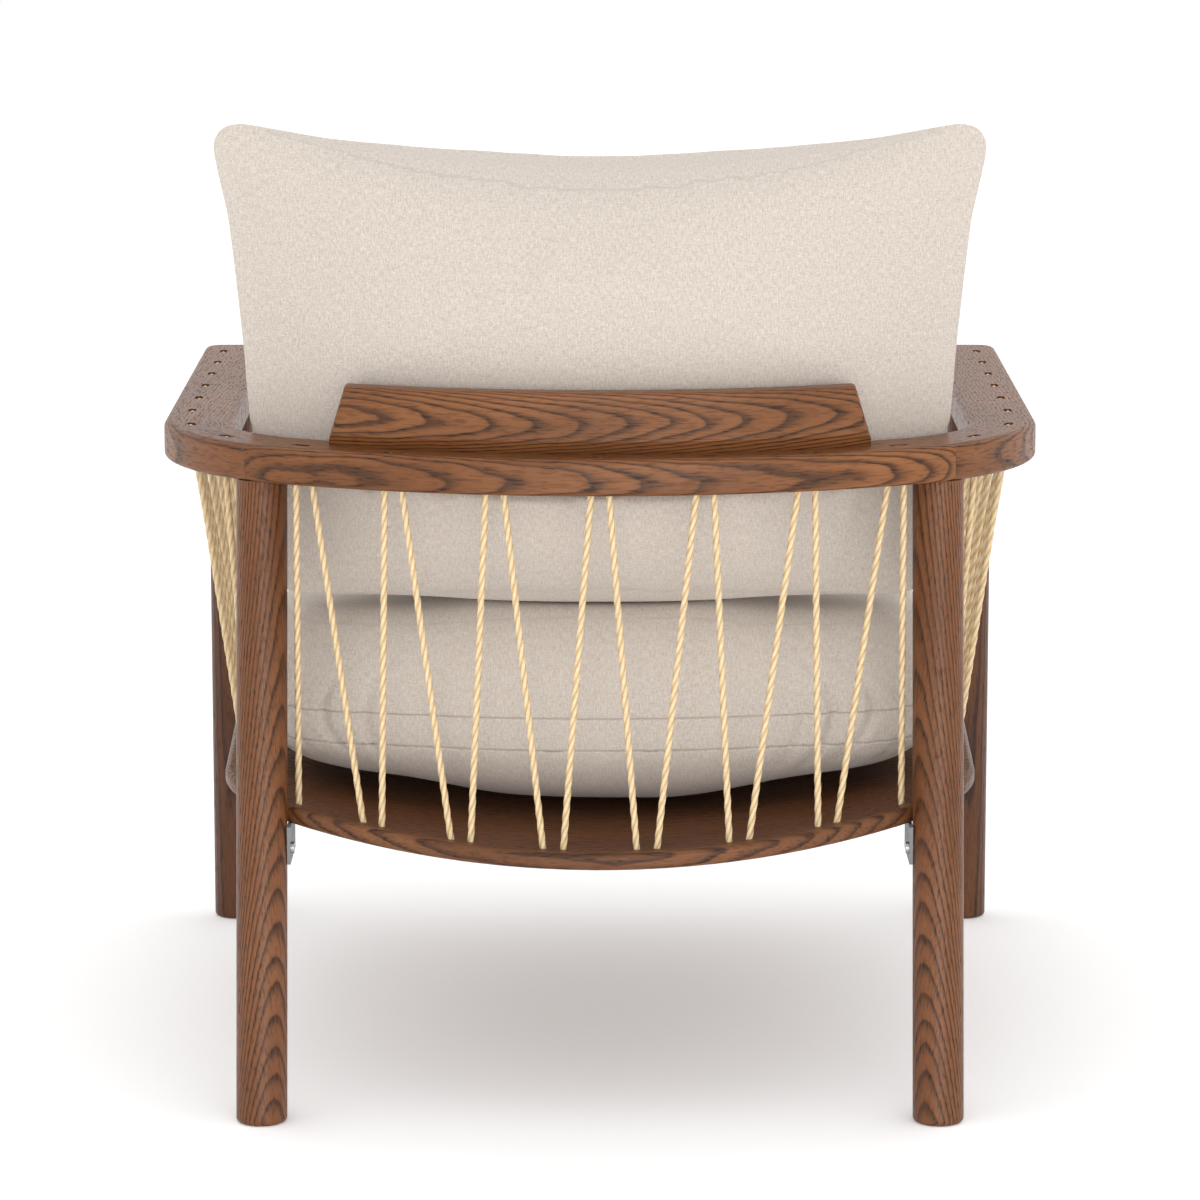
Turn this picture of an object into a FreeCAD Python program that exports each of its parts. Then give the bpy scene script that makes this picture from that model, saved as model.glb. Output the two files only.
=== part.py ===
import FreeCAD, Part
import math
import os

import Sketcher
from FreeCAD import Placement, Rotation, Vector

# Lounge armchair in oiled hardwood, laced with laid cord, with two loose cushions.
# Row frame: +Z up, the sitter faces -Y, the sitter's left is +X, the floor is z = 0.
# "Depth" below is always counted from the rear face of the rail towards the front.

SIZES = [
    # The rail: one band bent round the back and forward as two arms.
    ("rail_top", 577.5, "height of the rail's top face"),
    ("rail_thickness", 32, "rail, top to bottom"),
    ("rail_width", 61, "rail band seen from above"),
    ("rail_length", 791, "rear face to arm ends"),
    ("arm_half_width", 385.3, "outer side of the arms, carried back to depth 0"),
    ("arm_flare", 0.0095, "how fast the arms open towards the front"),
    ("back_radius", 575, "rear face of the rail"),
    ("corner_radius", 225, "outer corner of the rail"),
    ("inner_corner_radius", 130, "inner corner of the rail"),
    ("arm_end_radius", 18, "rounded arm ends"),
    ("top_round", 7, "softened arris along the rail's top"),
    ("under_round", 4, "rounded arris along its underside"),
    ("joint_half_width", 305, "where the back piece meets each arm"),
    # Legs.
    ("leg_diameter", 44, "turned legs"),
    ("foot_round", 4, "rounded foot arris"),
    ("tenon_diameter", 24, "round tenon on each leg"),
    ("tenon_length", 23, "tenon above the shoulder"),
    ("back_leg_half_width", 291.3, "axis of the back legs"),
    ("back_foot_depth", 13, "axis of the back feet on the floor"),
    ("back_leg_rake", 10, "degrees, the foot stands behind the rail"),
    ("front_leg_half_width", 367, "axis of the front legs"),
    ("front_leg_depth", 765.5, "axis of the front legs"),
    ("fit_gap", 0.15, "gap all round a glued tenon or dowel"),
    # Seat shell: a moulded board that hangs lowest along its middle.
    ("shell_thickness", 15, "moulded board"),
    ("shell_low", 224.5, "underside on the centre line"),
    ("shell_bend", 1350, "radius of its upper face"),
    ("shell_half_width", 326, "side edges, carried back to depth 0"),
    ("shell_flare", 0.029, "how fast the side edges open"),
    ("shell_rear", -6, "depth of its rear edge"),
    ("shell_front", 786, "depth of its front edge"),
    ("shell_back_radius", 560, "plan radius of the rear edge"),
    ("shell_corner_radius", 140, "plan radius of the rear corners"),
    ("shell_front_radius", 20, "plan radius of the front corners"),
    ("shell_edge_round", 5, "rounded edge"),
    ("notch_gap", 0.3, "gap between the shell and each leg"),
    # Lacing.
    ("cord_diameter", 6, "laid cord"),
    ("bore_gap", 0.35, "cord to the wall of its bore"),
    ("recess_gap", 0.6, "cord to the side walls of its slot"),
    ("slot_pitch", 90, "along the back of the rail"),
    ("corner_pitch", 83, "round the rail's corners"),
    ("arm_pitch", 85.7, "along the arms"),
    ("first_arm_slot", 304, "depth of the rearmost slot on an arm"),
    ("first_corner_turn", 52.4, "degrees round the corner to its first slot"),
    ("back_inset", 12, "slots behind the crest, from the rail's face"),
    ("side_inset", 21.5, "other slots, from the rail's face"),
    ("slot_spread", 11, "between the two runs of one slot"),
    ("slot_sink", 3.4, "cord centre below the rail's top"),
    ("eye_spread", 17.5, "between the two runs of one pair in the shell"),
    ("eye_inset", 18, "shell bores, from the shell's edge"),
    ("eye_pitch", 80, "along the shell's rear edge"),
    ("first_side_eye", 247, "depth of the first pair on a side edge"),
    ("last_eye", 727, "depth of the single bore at the cord's end"),
    ("top_bend", 4, "cord round the bridge in a slot"),
    ("groove_depth", 4.5, "groove under the shell that a loop of cord lies in"),
    ("groove_gap", 1.4, "cord to the side walls of that groove"),
    ("under_bend", 3.9, "cord under the shell"),
    ("knot_diameter", 15, "stop knot"),
    # Crest board.
    ("crest_inset", 25, "its rear arris, from the rail's rear face"),
    ("crest_thickness", 27, "at the arris"),
    ("crest_top", 630.5, "height of its top"),
    ("crest_bevel", 11, "undercut band along its foot"),
    ("crest_half_width", 231.5, "at its foot"),
    ("crest_top_half_width", 217, "at its top"),
    ("crest_round", 4, "rounded crest arrises"),
    # Fixings.
    ("dowel_diameter", 8, "dowels in the rail joints"),
    ("dowel_length", 20, "dowels in the rail joints"),
    ("dowel_inset", 22, "first dowel, from the rail's inner side at the joint"),
    ("dowel_pitch", 12, "between the two dowels of a joint"),
    ("screw_diameter", 4.5, "wood screws"),
    ("screw_head", 9, "screw heads"),
    ("bracket_thickness", 3, "steel plate"),
    ("bracket_width", 46, "front brackets, front to back"),
    ("back_bracket_width", 70, "back brackets, front to back"),
    ("flange_inset", 25.5, "flat flange of a back bracket, clear of the lacing"),
    ("back_bracket_shift", 28, "the back brackets sit forward of the leg axis"),
    ("back_screw_shift", 50, "and so do their shell screws"),
    ("loop_room", 1.5, "relief in a bracket, all round the cord's loop"),
    ("bracket_drop", 33, "upright flange below the shell"),
    ("bracket_reach", 40, "flat flange under the shell"),
    ("bolt_diameter", 6, "bracket bolt"),
    ("insert_diameter", 10, "threaded insert in the leg"),
    # Cushions.
    ("seat_rear", 78, "rear of the seat cushion"),
    ("seat_front", 784, "front of the seat cushion"),
    ("seat_half_width", 312, "half width of the seat cushion"),
    ("seat_top", 432, "height of its top face"),
    ("seat_plan_radius", 640, "plan radius of its rear"),
    ("seat_corner_radius", 120, "plan radius of its rear corners"),
    ("seat_round", 34, "rounded edges"),
    ("back_half_width", 304, "half width of the back cushion"),
    ("back_height", 401, "back cushion, bottom to top"),
    ("back_front", 256, "depth of its front face, at the rail"),
    ("back_corner_radius", 105, "plan radius of its rear corners"),
    ("back_lean", 4, "degrees"),
    ("back_round", 30, "rounded edges"),
    ("soft_gap", 0.3, "between a cushion and what it rests on"),
    ("cover_thickness", 2, "woven cover with its lining"),
    ("core_gap", 0.5, "between a cover and its filling"),
    # Where the row's origin lies.
    ("origin_depth", 391.2, "depth of the middle of the chair"),
]

doc = FreeCAD.newDocument("lounge_armchair")
sheet = doc.addObject("Spreadsheet::Sheet", "Sizes")
for line, (alias, value, note) in enumerate(SIZES, start=1):
    sheet.set(f"A{line}", alias)
    sheet.set(f"B{line}", str(value))
    sheet.setAlias(f"B{line}", alias)
    sheet.set(f"C{line}", note)
doc.recompute()


def size(alias):
    return float(sheet.get(alias))


UP = Vector(0, 0, 1)
SIDES = (("left", 1), ("right", -1))
exported = []

rail_top = size("rail_top")
rail_under = rail_top - size("rail_thickness")
leg_radius = size("leg_diameter") / 2
rake = math.tan(math.radians(size("back_leg_rake")))
cord_radius = size("cord_diameter") / 2
bore_radius = cord_radius + size("bore_gap")
recess_radius = cord_radius + size("recess_gap")
groove_radius = cord_radius + size("groove_gap")
shell_outer = size("shell_bend") + size("shell_thickness")
shell_axis = size("shell_low") + shell_outer
SPARE = 60  # how far a cutting tool runs past what it cuts


def at(x, depth, z):
    """A point in the row frame from a half width, a depth and a height."""
    return Vector(x, size("origin_depth") - depth, z)


def shell_under(x):
    return shell_axis - math.sqrt(shell_outer**2 - x**2)


# ---------------------------------------------------------------- plan curves


class Plan:
    """Half of a D-shaped plan: a rear arc, a corner arc and a side line that opens forward.

    The rear arc has its vertex at depth `rear`. Points are asked for by distance along a curve
    that lies `inset` inside the outline."""

    def __init__(self, rear, radius, corner, half_width, flare):
        self.rear, self.radius, self.corner = rear, radius, corner
        self.flare = flare
        self.slant = math.atan(flare)
        span = radius - corner
        side = half_width - corner / math.cos(self.slant) + flare * (rear + radius)
        under = (side * flare) ** 2 - (1 + flare**2) * (side**2 - span**2)
        ahead = (side * flare + math.sqrt(under)) / (1 + flare**2)
        self.corner_x = side - flare * ahead
        self.corner_depth = rear + radius - ahead
        self.turn = math.asin(self.corner_x / span)
        self.end_turn = math.pi / 2 - self.slant

    def on_back(self, turn, inset=0.0):
        r = self.radius - inset
        return r * math.sin(turn), self.rear + self.radius - r * math.cos(turn)

    def on_corner(self, turn, inset=0.0):
        r = self.corner - inset
        return self.corner_x + r * math.sin(turn), self.corner_depth - r * math.cos(turn)

    def on_side(self, depth, inset=0.0):
        x0, d0 = self.on_corner(self.end_turn, inset)
        return x0 + (depth - d0) * self.flare, depth


def half_edges(plan, front, inset=0.0, z=0.0):
    """The +X half of a plan's outline, from the centre line at the rear to the front."""
    back = [plan.on_back(t, inset) for t in (0, plan.turn / 2, plan.turn)]
    middle = (plan.turn + plan.end_turn) / 2
    corner = [plan.on_corner(t, inset) for t in (plan.turn, middle, plan.end_turn)]
    side = [corner[-1], plan.on_side(front, inset)]
    return [
        Part.Arc(*[at(x, d, z) for x, d in back]),
        Part.Arc(*[at(x, d, z) for x, d in corner]),
        Part.LineSegment(*[at(x, d, z) for x, d in side]),
    ]


def mirrored(edges):
    return [edge.toShape().mirror(Vector(), Vector(1, 0, 0)) for edge in edges]


def plan_face(plan, front, inset=0.0, z=0.0):
    """A flat face inside a closed D-shaped plan."""
    right = half_edges(plan, front, inset, z)
    x, depth = plan.on_side(front, inset)
    across = Part.LineSegment(at(x, depth, z), at(-x, depth, z)).toShape()
    edges = [edge.toShape() for edge in right] + [across] + mirrored(right)
    return Part.Face(Part.Wire(Part.__sortEdges__(edges)))


def band_face(outer, inner, front, z=0.0):
    """A flat face between two open D-shaped plans that end at the same depth."""
    edges = []
    for plan in (outer, inner):
        half = half_edges(plan, front, 0.0, z)
        edges += [edge.toShape() for edge in half] + mirrored(half)
    for sign in (1, -1):
        ends = [plan.on_side(front) for plan in (outer, inner)]
        edges.append(Part.LineSegment(*[at(sign * x, d, z) for x, d in ends]).toShape())
    return Part.Face(Part.Wire(Part.__sortEdges__(edges)))


rail_outer = Plan(0, size("back_radius"), size("corner_radius"), size("arm_half_width"), size("arm_flare"))
rail_inner = Plan(
    size("rail_width"),
    size("back_radius") - size("rail_width"),
    size("inner_corner_radius"),
    size("arm_half_width") - size("rail_width"),
    size("arm_flare"),
)
shell_plan = Plan(
    size("shell_rear"),
    size("shell_back_radius"),
    size("shell_corner_radius"),
    size("shell_half_width"),
    size("shell_flare"),
)
back_plan = Plan(
    size("rail_width") + size("soft_gap"),
    size("back_radius") - size("rail_width") - size("soft_gap"),
    size("back_corner_radius"),
    size("back_half_width"),
    0.0,
)
seat_plan = Plan(
    size("seat_rear"),
    size("seat_plan_radius"),
    size("seat_corner_radius"),
    size("seat_half_width"),
    0.0,
)


# ------------------------------------------------------------ document helpers


def origin_plane(body, role):
    return next(f for f in body.Origin.OriginFeatures if f.Role == role)


def sketch_of(body, name, face_or_edges, role="XY_Plane"):
    """A sketch on one of the body's own origin planes, drawn from ready-made geometry."""
    sketch = body.newObject("Sketcher::SketchObject", name)
    sketch.AttachmentSupport = (origin_plane(body, role), [""])
    sketch.MapMode = "FlatFace"
    for geometry in face_or_edges:
        sketch.addGeometry(geometry, False)
    return sketch


def flat_geometry(face):
    """Sketch geometry (lines and counter-clockwise arcs) of a flat face's outline."""
    found = []
    for edge in face.OuterWire.Edges:
        curve = edge.Curve
        ends = [edge.valueAt(t) for t in (edge.FirstParameter, edge.LastParameter)]
        if isinstance(curve, Part.Circle):
            middle = edge.valueAt((edge.FirstParameter + edge.LastParameter) / 2)
            centre = Vector(curve.Center.x, curve.Center.y, 0)
            circle = Part.Circle(centre, UP, curve.Radius)
            angles = [math.atan2(p.y - centre.y, p.x - centre.x) for p in (ends[0], middle, ends[1])]
            turn = (angles[1] - angles[0]) % (2 * math.pi)
            first, last = (angles[0], angles[2]) if turn < math.pi else (angles[2], angles[0])
            found.append(Part.ArcOfCircle(circle, first, last))
        else:
            flat = [Vector(p.x, p.y, 0) for p in ends]
            found.append(Part.LineSegment(*flat))
    return found


def pad(body, name, sketch, length):
    feature = body.newObject("PartDesign::Pad", name)
    feature.Profile = sketch
    feature.setExpression("Length", length)
    body.Tip = feature
    sketch.Visibility = False
    doc.recompute()
    return feature


def fillet_edges(body, name, base, radius, wanted):
    """A fillet on the edges of `base` for which wanted(edge) holds."""
    names = [f"Edge{i}" for i, e in enumerate(base.Shape.Edges, start=1) if wanted(e)]
    feature = body.newObject("PartDesign::Fillet", name)
    feature.Base = (base, names)
    feature.setExpression("Radius", radius)
    body.Tip = feature
    doc.recompute()
    return feature


def feature_from(name, shape):
    """A shape that neither PartDesign nor the Part primitives make, kept as a feature."""
    feature = doc.addObject("Part::Feature", name)
    feature.Shape = shape
    return feature


def cut(name, base, tool):
    feature = doc.addObject("Part::Cut", name)
    feature.Base = base
    feature.Tool = tool
    doc.recompute()
    return feature


def common(name, base, tool):
    feature = doc.addObject("Part::Common", name)
    feature.Base = base
    feature.Tool = tool
    doc.recompute()
    return feature


def keep(feature, node):
    """Names a finished sub-part and lists it for export."""
    feature.Label = node
    exported.append((node, feature))
    return feature


def rod(start, end, radius):
    """A plain round bar between two points."""
    along = end - start
    return Part.makeCylinder(radius, along.Length, start, along)


# ------------------------------------------------------------------ the lacing


def slot_places():
    """Middle of each slot on the +X side, and the direction of the rail there."""
    places = []
    step = size("slot_pitch") / (rail_outer.radius - size("back_inset"))
    for count in range(4):
        inset = size("back_inset") if count < 3 else size("side_inset")
        x, depth = rail_outer.on_back(count * step, inset)
        places.append((x, depth, count * step))
    corner_step = size("corner_pitch") / (rail_outer.corner - size("side_inset"))
    for count in range(2):
        turn = math.radians(size("first_corner_turn")) + count * corner_step
        x, depth = rail_outer.on_corner(turn, size("side_inset"))
        places.append((x, depth, turn))
    for count in range(6):
        depth = size("first_arm_slot") + count * size("arm_pitch")
        x, depth = rail_outer.on_side(depth, size("side_inset"))
        places.append((x, depth, rail_outer.end_turn))
    return places


EYE_CORNER_SHARES = (0.19, 0.72)  # how far round the shell's corner its two pairs lie


def eye_places():
    """Middle of each pair of bores in the shell on the +X side; the last is a single bore."""
    places = []
    inset = size("eye_inset")
    step = size("eye_pitch") / (shell_plan.radius - inset)
    for count in range(3):
        turn = (count + 0.5) * step
        x, depth = shell_plan.on_back(turn, inset)
        places.append((x, depth, turn))
    for share in EYE_CORNER_SHARES:
        turn = shell_plan.turn + share * (shell_plan.end_turn - shell_plan.turn)
        x, depth = shell_plan.on_corner(turn, inset)
        places.append((x, depth, turn))
    depths = [size("first_side_eye") + n * size("arm_pitch") for n in range(6)]
    for depth in depths + [size("last_eye")]:
        x, depth = shell_plan.on_side(depth, inset)
        places.append((x, depth, shell_plan.end_turn))
    return places


def spread(place, distance, z):
    """A point `distance` along the curve from a slot or eye."""
    x, depth, turn = place
    return at(x + distance * math.cos(turn), depth + distance * math.sin(turn), z)


def under_gap(x):
    """Height from the cord's centre in its groove up to the shell's sloping underside."""
    return (bore_radius - size("groove_depth")) / math.cos(math.asin(x / shell_outer))


def half_route():
    """The cord's corner points from the middle slot to its end on the +X side."""
    top_z = rail_top - size("slot_sink")
    top_half = size("slot_spread") / 2
    eye_half = size("eye_spread") / 2
    slots, eyes = slot_places(), eye_places()
    points = [(spread(slots[0], top_half, top_z), "top")]
    for slot, eye in zip(slots[1:], eyes):
        under = shell_under(eye[0]) - under_gap(eye[0])
        points.append((spread(eye, -eye_half, under), "under"))
        points.append((spread(eye, eye_half, under), "under"))
        points.append((spread(slot, -top_half, top_z), "top"))
        points.append((spread(slot, top_half, top_z), "top"))
    last = eyes[-1]
    points.append((spread(last, 0, shell_under(last[0]) - size("knot_diameter") / 2), "end"))
    return points


def leaned(points):
    """Moves each point under the shell in line with its run, so that a run enters its bore straight."""
    moved = []
    for index, (point, place) in enumerate(points):
        if place == "under":
            near = index - 1 if points[index - 1][1] == "top" else index + 1
            top = points[near][0]
            deck = point + UP * (under_gap(point.x) + size("shell_thickness"))
            along = deck - top
            low = point
            for _ in range(4):
                low = deck + along * ((shell_under(low.x) - under_gap(low.x) - deck.z) / along.z)
            moved.append((low, place))
        else:
            moved.append((point, place))
    return moved


half = leaned(half_route())
mirror = [(Vector(-p.x, p.y, p.z), place) for p, place in half]
route = list(reversed(mirror)) + half


def rounded_wire(route):
    """Straight runs joined by tangent arcs."""
    bends = {"top": size("top_bend"), "under": size("under_bend")}
    edges = []
    here = route[0][0]
    for (before, _), (point, place), (after, _) in zip(route, route[1:], route[2:]):
        back, on = (before - point).normalize(), (after - point).normalize()
        angle = back.getAngle(on)
        setback = bends[place] / math.tan(angle / 2)
        start, stop = point + back * setback, point + on * setback
        bisector = (back + on).normalize()
        centre_distance = bends[place] / math.sin(angle / 2)
        middle = point + bisector * (centre_distance - bends[place])
        edges.append(Part.LineSegment(here, start).toShape())
        edges.append(Part.Arc(start, middle, stop).toShape())
        here = stop
    edges.append(Part.LineSegment(here, route[-1][0]).toShape())
    return Part.Wire(edges)


def make_cord():
    path = rounded_wire(route)
    first = path.Edges[0]
    start, along = first.valueAt(first.FirstParameter), first.tangentAt(first.FirstParameter)
    ring = Part.Wire(Part.Circle(start, along, cord_radius).toShape())
    tube = path.makePipeShell([ring], True, False)
    expected = math.pi * cord_radius**2 * path.Length
    print("cord length", round(path.Length), "mm, volume ratio", round(tube.Volume / expected, 5))
    if abs(tube.Volume / expected - 1) > 0.002:
        raise ValueError("the cord's sweep lost its volume")
    return keep(feature_from("cord", tube), "lacing_cord")


def obround(a, b, radius, height):
    """An upright block over the line from a to b, round at both ends."""
    wide = (b - a).cross(UP).normalize() * radius
    corners = [a + wide, b + wide, b - wide, a - wide]
    middle = Part.Face(Part.makePolygon(corners + corners[:1])).extrude(height)
    return [middle] + [Part.makeCylinder(radius, height.Length, end, height) for end in (a, b)]


def slot_tool(place, lower_left, lower_right):
    """What one slot takes out of the rail: an obround recess on top and two slanting bores."""
    top_z = rail_top - size("slot_sink")
    half_spread = size("slot_spread") / 2
    ends = [spread(place, sign * half_spread, top_z) for sign in (-1, 1)]
    floor = UP * -bore_radius
    shapes = obround(ends[0] + floor, ends[1] + floor, recess_radius, UP * SPARE)
    for end, lower in zip(ends, (lower_left, lower_right)):
        shapes.append(rod(end, end + (lower - end).normalize() * SPARE, bore_radius))
    return shapes[0].fuse(shapes[1:])


def shell_bore(upper, lower, past=0.0):
    """A bore through the shell in line with a run of cord, ending at its lower corner or past it."""
    along = (lower - upper).normalize()
    return rod(lower - along * SPARE, lower + along * past, bore_radius)


def lacing_tools():
    """Cutting tools for the rail and for the shell, one for each slot and each run."""
    points = [point for point, _ in route]
    kinds = [place for _, place in route]
    tops = [i for i, kind in enumerate(kinds) if kind == "top"]
    slots = slot_places()
    all_slots = [(-x, d, -t) for x, d, t in reversed(slots[1:])] + slots
    in_rail = []
    for place, first in zip(all_slots, tops[::2]):
        in_rail.append(slot_tool(place, points[first - 1], points[first + 2]))
    # One tool for each loop of cord: its two bores and the groove between them, or an end's bore.
    in_shell = []
    for index, kind in enumerate(kinds):
        if kind == "under" and kinds[index + 1] == "under":
            before, first, last, after = points[index - 1 : index + 3]
            roof = UP * bore_radius
            shapes = obround(first + roof, last + roof, groove_radius, UP * -SPARE / 2)
            shapes += [shell_bore(before, first), shell_bore(after, last)]
            in_shell.append(shapes[0].fuse(shapes[1:]))
    in_shell.append(shell_bore(points[1], points[0], SPARE / 2))
    in_shell.append(shell_bore(points[-2], points[-1], SPARE / 2))
    return in_rail, in_shell


def loop_reliefs():
    """Room for each loop of cord under the shell, cut out of the brackets."""
    room = cord_radius + size("loop_room")
    shapes = []
    for (a, kind), (b, next_kind) in zip(route, route[1:]):
        if kind == next_kind == "under":
            shapes += obround(a - UP * room, b - UP * room, room, UP * SPARE / 2)
    return shapes


def make_knots():
    """The stop knot at each end of the cord, round the cord under the shell."""
    knots = []
    for end, before in ((route[0][0], route[1][0]), (route[-1][0], route[-2][0])):
        ball = Part.makeSphere(size("knot_diameter") / 2, end)
        along = (end - before).normalize()
        seat = rod(end - along * SPARE, end, cord_radius)
        knots.append(ball.cut(seat))
    return keep(feature_from("knots", Part.makeCompound(knots)), "cord_knots")


# -------------------------------------------------------------------- the rail


def back_leg_axis(z):
    return size("back_leg_half_width"), size("back_foot_depth") + z * rake


def make_rail(in_rail):
    """The three pieces of the rail, cut from one blank whose outline runs round all of them."""
    body = doc.addObject("PartDesign::Body", "rail_blank")
    face = band_face(rail_outer, rail_inner, size("rail_length"))
    sketch = sketch_of(body, "rail_plan", flat_geometry(face))
    sketch.setExpression("AttachmentOffset.Base.z", "Sizes.rail_top - Sizes.rail_thickness")
    blank = pad(body, "rail_pad", sketch, "Sizes.rail_thickness")
    front = at(0, size("rail_length"), 0).y

    def arm_corner(edge):
        return edge.BoundBox.ZLength > 1 and abs(edge.BoundBox.YMin - front) < 0.01

    def on_top(edge):
        return edge.BoundBox.ZMin > rail_top - 0.01

    def on_underside(edge):
        return edge.BoundBox.ZMax < rail_under + 0.01

    ends = fillet_edges(body, "arm_end_rounding", blank, "Sizes.arm_end_radius", arm_corner)
    soft = fillet_edges(body, "top_rounding", ends, "Sizes.top_round", on_top)
    fillet_edges(body, "underside_rounding", soft, "Sizes.under_round", on_underside)

    joint, far = size("joint_half_width"), 2 * size("arm_half_width")
    tools = in_rail + all_mortises() + dowel_holes() + screw_holes_in_rail()
    spans = {"rail_back": (-joint, joint), "rail_arm_left": (joint, far), "rail_arm_right": (-far, -joint)}
    for node, (low, high) in spans.items():
        box = doc.addObject("Part::Box", f"{node}_span")
        box.Length = high - low
        box.Width = 3 * size("rail_length")
        box.Height = 3 * size("rail_thickness")
        corner = Vector(low, -1.5 * size("rail_length"), rail_under - size("rail_thickness"))
        box.Placement = Placement(corner, Rotation())
        piece = common(f"{node}_blank", body, box)
        near = [tool for tool in tools if tool.BoundBox.XMax > low and tool.BoundBox.XMin < high]
        bores = feature_from(f"{node}_bores", Part.makeCompound(near))
        keep(cut(f"{node}_cut", piece, bores), node)


def all_mortises():
    return [leg_mortise(which, side) for which in ("back", "front") for _, side in SIDES]


def tenon_line(which, side):
    """Start and direction of a leg's tenon."""
    if which == "back":
        x, depth = back_leg_axis(rail_under)
        along = (at(0, rake, 1) - at(0, 0, 0)).normalize()
    else:
        x, depth = size("front_leg_half_width"), size("front_leg_depth")
        along = Vector(0, 0, 1)
    return at(side * x, depth, rail_under), along


def leg_mortise(which, side):
    start, along = tenon_line(which, side)
    radius = size("tenon_diameter") / 2 + size("fit_gap")
    reach = size("tenon_length") + 1
    return rod(start - along * SPARE / 4, start + along * reach, radius)


def dowel_lines():
    """Two dowels across each joint of the rail, on its inner side."""
    height = rail_under + size("rail_thickness") / 2
    _, inner_depth = joint_depth(rail_inner)
    lines = []
    for _, side in SIDES:
        for count in range(2):
            depth = inner_depth - size("dowel_inset") - count * size("dowel_pitch")
            middle = at(side * size("joint_half_width"), depth, height)
            lines.append((middle, side))
    return lines


def joint_depth(plan):
    """Where a plan's corner crosses the rail joint."""
    turn = math.asin((size("joint_half_width") - plan.corner_x) / plan.corner)
    return plan.on_corner(turn)


def dowel_ends(middle, side, extra=0.0):
    into_back = 0.6 * size("dowel_length") + extra
    into_arm = 0.4 * size("dowel_length") + extra
    return middle - Vector(side * into_back, 0, 0), middle + Vector(side * into_arm, 0, 0)


def dowel_holes():
    radius = size("dowel_diameter") / 2 + size("fit_gap")
    return [rod(*dowel_ends(middle, side, 1), radius) for middle, side in dowel_lines()]


def make_dowels():
    radius = size("dowel_diameter") / 2
    dowels = [rod(*dowel_ends(middle, side), radius) for middle, side in dowel_lines()]
    return keep(feature_from("dowels", Part.makeCompound(dowels)), "rail_dowels")


# ------------------------------------------------------------------- the crest

CREST_SCREW_TURNS = (-19, -6.5, 6.5, 19)


def crest_screw_lines():
    inset = size("crest_inset") + size("crest_thickness") / 2
    lines = []
    for degrees in CREST_SCREW_TURNS:
        x, depth = rail_outer.on_back(math.radians(degrees), inset)
        lines.append(at(x, depth, rail_under))
    return lines


def wood_screw(foot, along, length, slack=0.0):
    """A countersunk screw: its head flush at `foot`, its shank running along."""
    head = size("screw_head") / 2 + slack
    shank = size("screw_diameter") / 2 + slack
    cone = Part.makeCone(head, shank, size("screw_head") / 2, foot, along)
    return cone.fuse(rod(foot, foot + along * (length + slack), shank)).removeSplitter()


def crest_screw_length():
    return size("rail_thickness") + 0.6 * (size("crest_top") - rail_top)


def screw_holes_in_rail():
    length = crest_screw_length()
    return [wood_screw(foot, UP, length, size("fit_gap")) for foot in crest_screw_lines()]


def make_crest():
    """A curved board whose section is turned about the axis of the rail's rear face."""
    radius = size("back_radius") - size("crest_inset")
    foot, top, bevel = rail_top, size("crest_top"), size("crest_bevel")
    thick = size("crest_thickness")
    body = doc.addObject("PartDesign::Body", "crest_body")
    section = [
        (radius - 4, foot),
        (radius, foot + bevel),
        (radius + 2.5, top),
        (radius - thick + 7, top),
        (radius - thick, foot),
    ]
    centre = at(0, size("back_radius"), 0)
    # The section is drawn on the YZ plane, where a sketch's x runs along the row's Y.
    flat = [Vector(centre.y + r, z, 0) for r, z in section]
    lines = [Part.LineSegment(a, b) for a, b in zip(flat, flat[1:] + flat[:1])]
    sketch = sketch_of(body, "crest_section", lines, "YZ_Plane")
    axis = Part.LineSegment(Vector(centre.y, 0, 0), Vector(centre.y, 100, 0))
    sketch.addGeometry(axis, True)
    turned = body.newObject("PartDesign::Revolution", "crest_turn")
    turned.Profile = sketch
    turned.ReferenceAxis = (sketch, ["Axis0"])
    turned.Angle = 60
    turned.Midplane = True
    body.Tip = turned
    doc.recompute()
    low, high = size("crest_half_width"), size("crest_top_half_width")
    step = foot + bevel * 0.6
    depth_near, depth_far = -SPARE, size("back_radius") / 2
    corners = [(-low, foot), (low, foot), (low, step), (high, top + 1), (-high, top + 1), (-low, step)]
    outline = [at(x, depth_near, z) for x, z in corners]
    wedge = Part.Face(Part.makePolygon(outline + outline[:1])).extrude(Vector(0, -depth_far, 0))
    trim = feature_from("crest_trim", wedge)
    board = common("crest_board", body, trim)
    rounding = doc.addObject("Part::Fillet", "crest_rounding")
    rounding.Base = board
    radius_now = size("crest_round")
    wanted = []
    for number, edge in enumerate(board.Shape.Edges, start=1):
        if edge.BoundBox.ZMax > foot + bevel + 1 and edge.BoundBox.ZMin > foot - 1:
            wanted.append((number, radius_now, radius_now))
    rounding.Edges = wanted
    doc.recompute()
    holes = Part.makeCompound(screw_holes_in_rail())
    keep(cut("crest_cut", rounding, feature_from("crest_holes", holes)), "crest_board")


def make_crest_screws():
    screws = [wood_screw(foot, UP, crest_screw_length()) for foot in crest_screw_lines()]
    return keep(feature_from("crest_screw_set", Part.makeCompound(screws)), "crest_screws")


# -------------------------------------------------------------------- the legs


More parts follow.
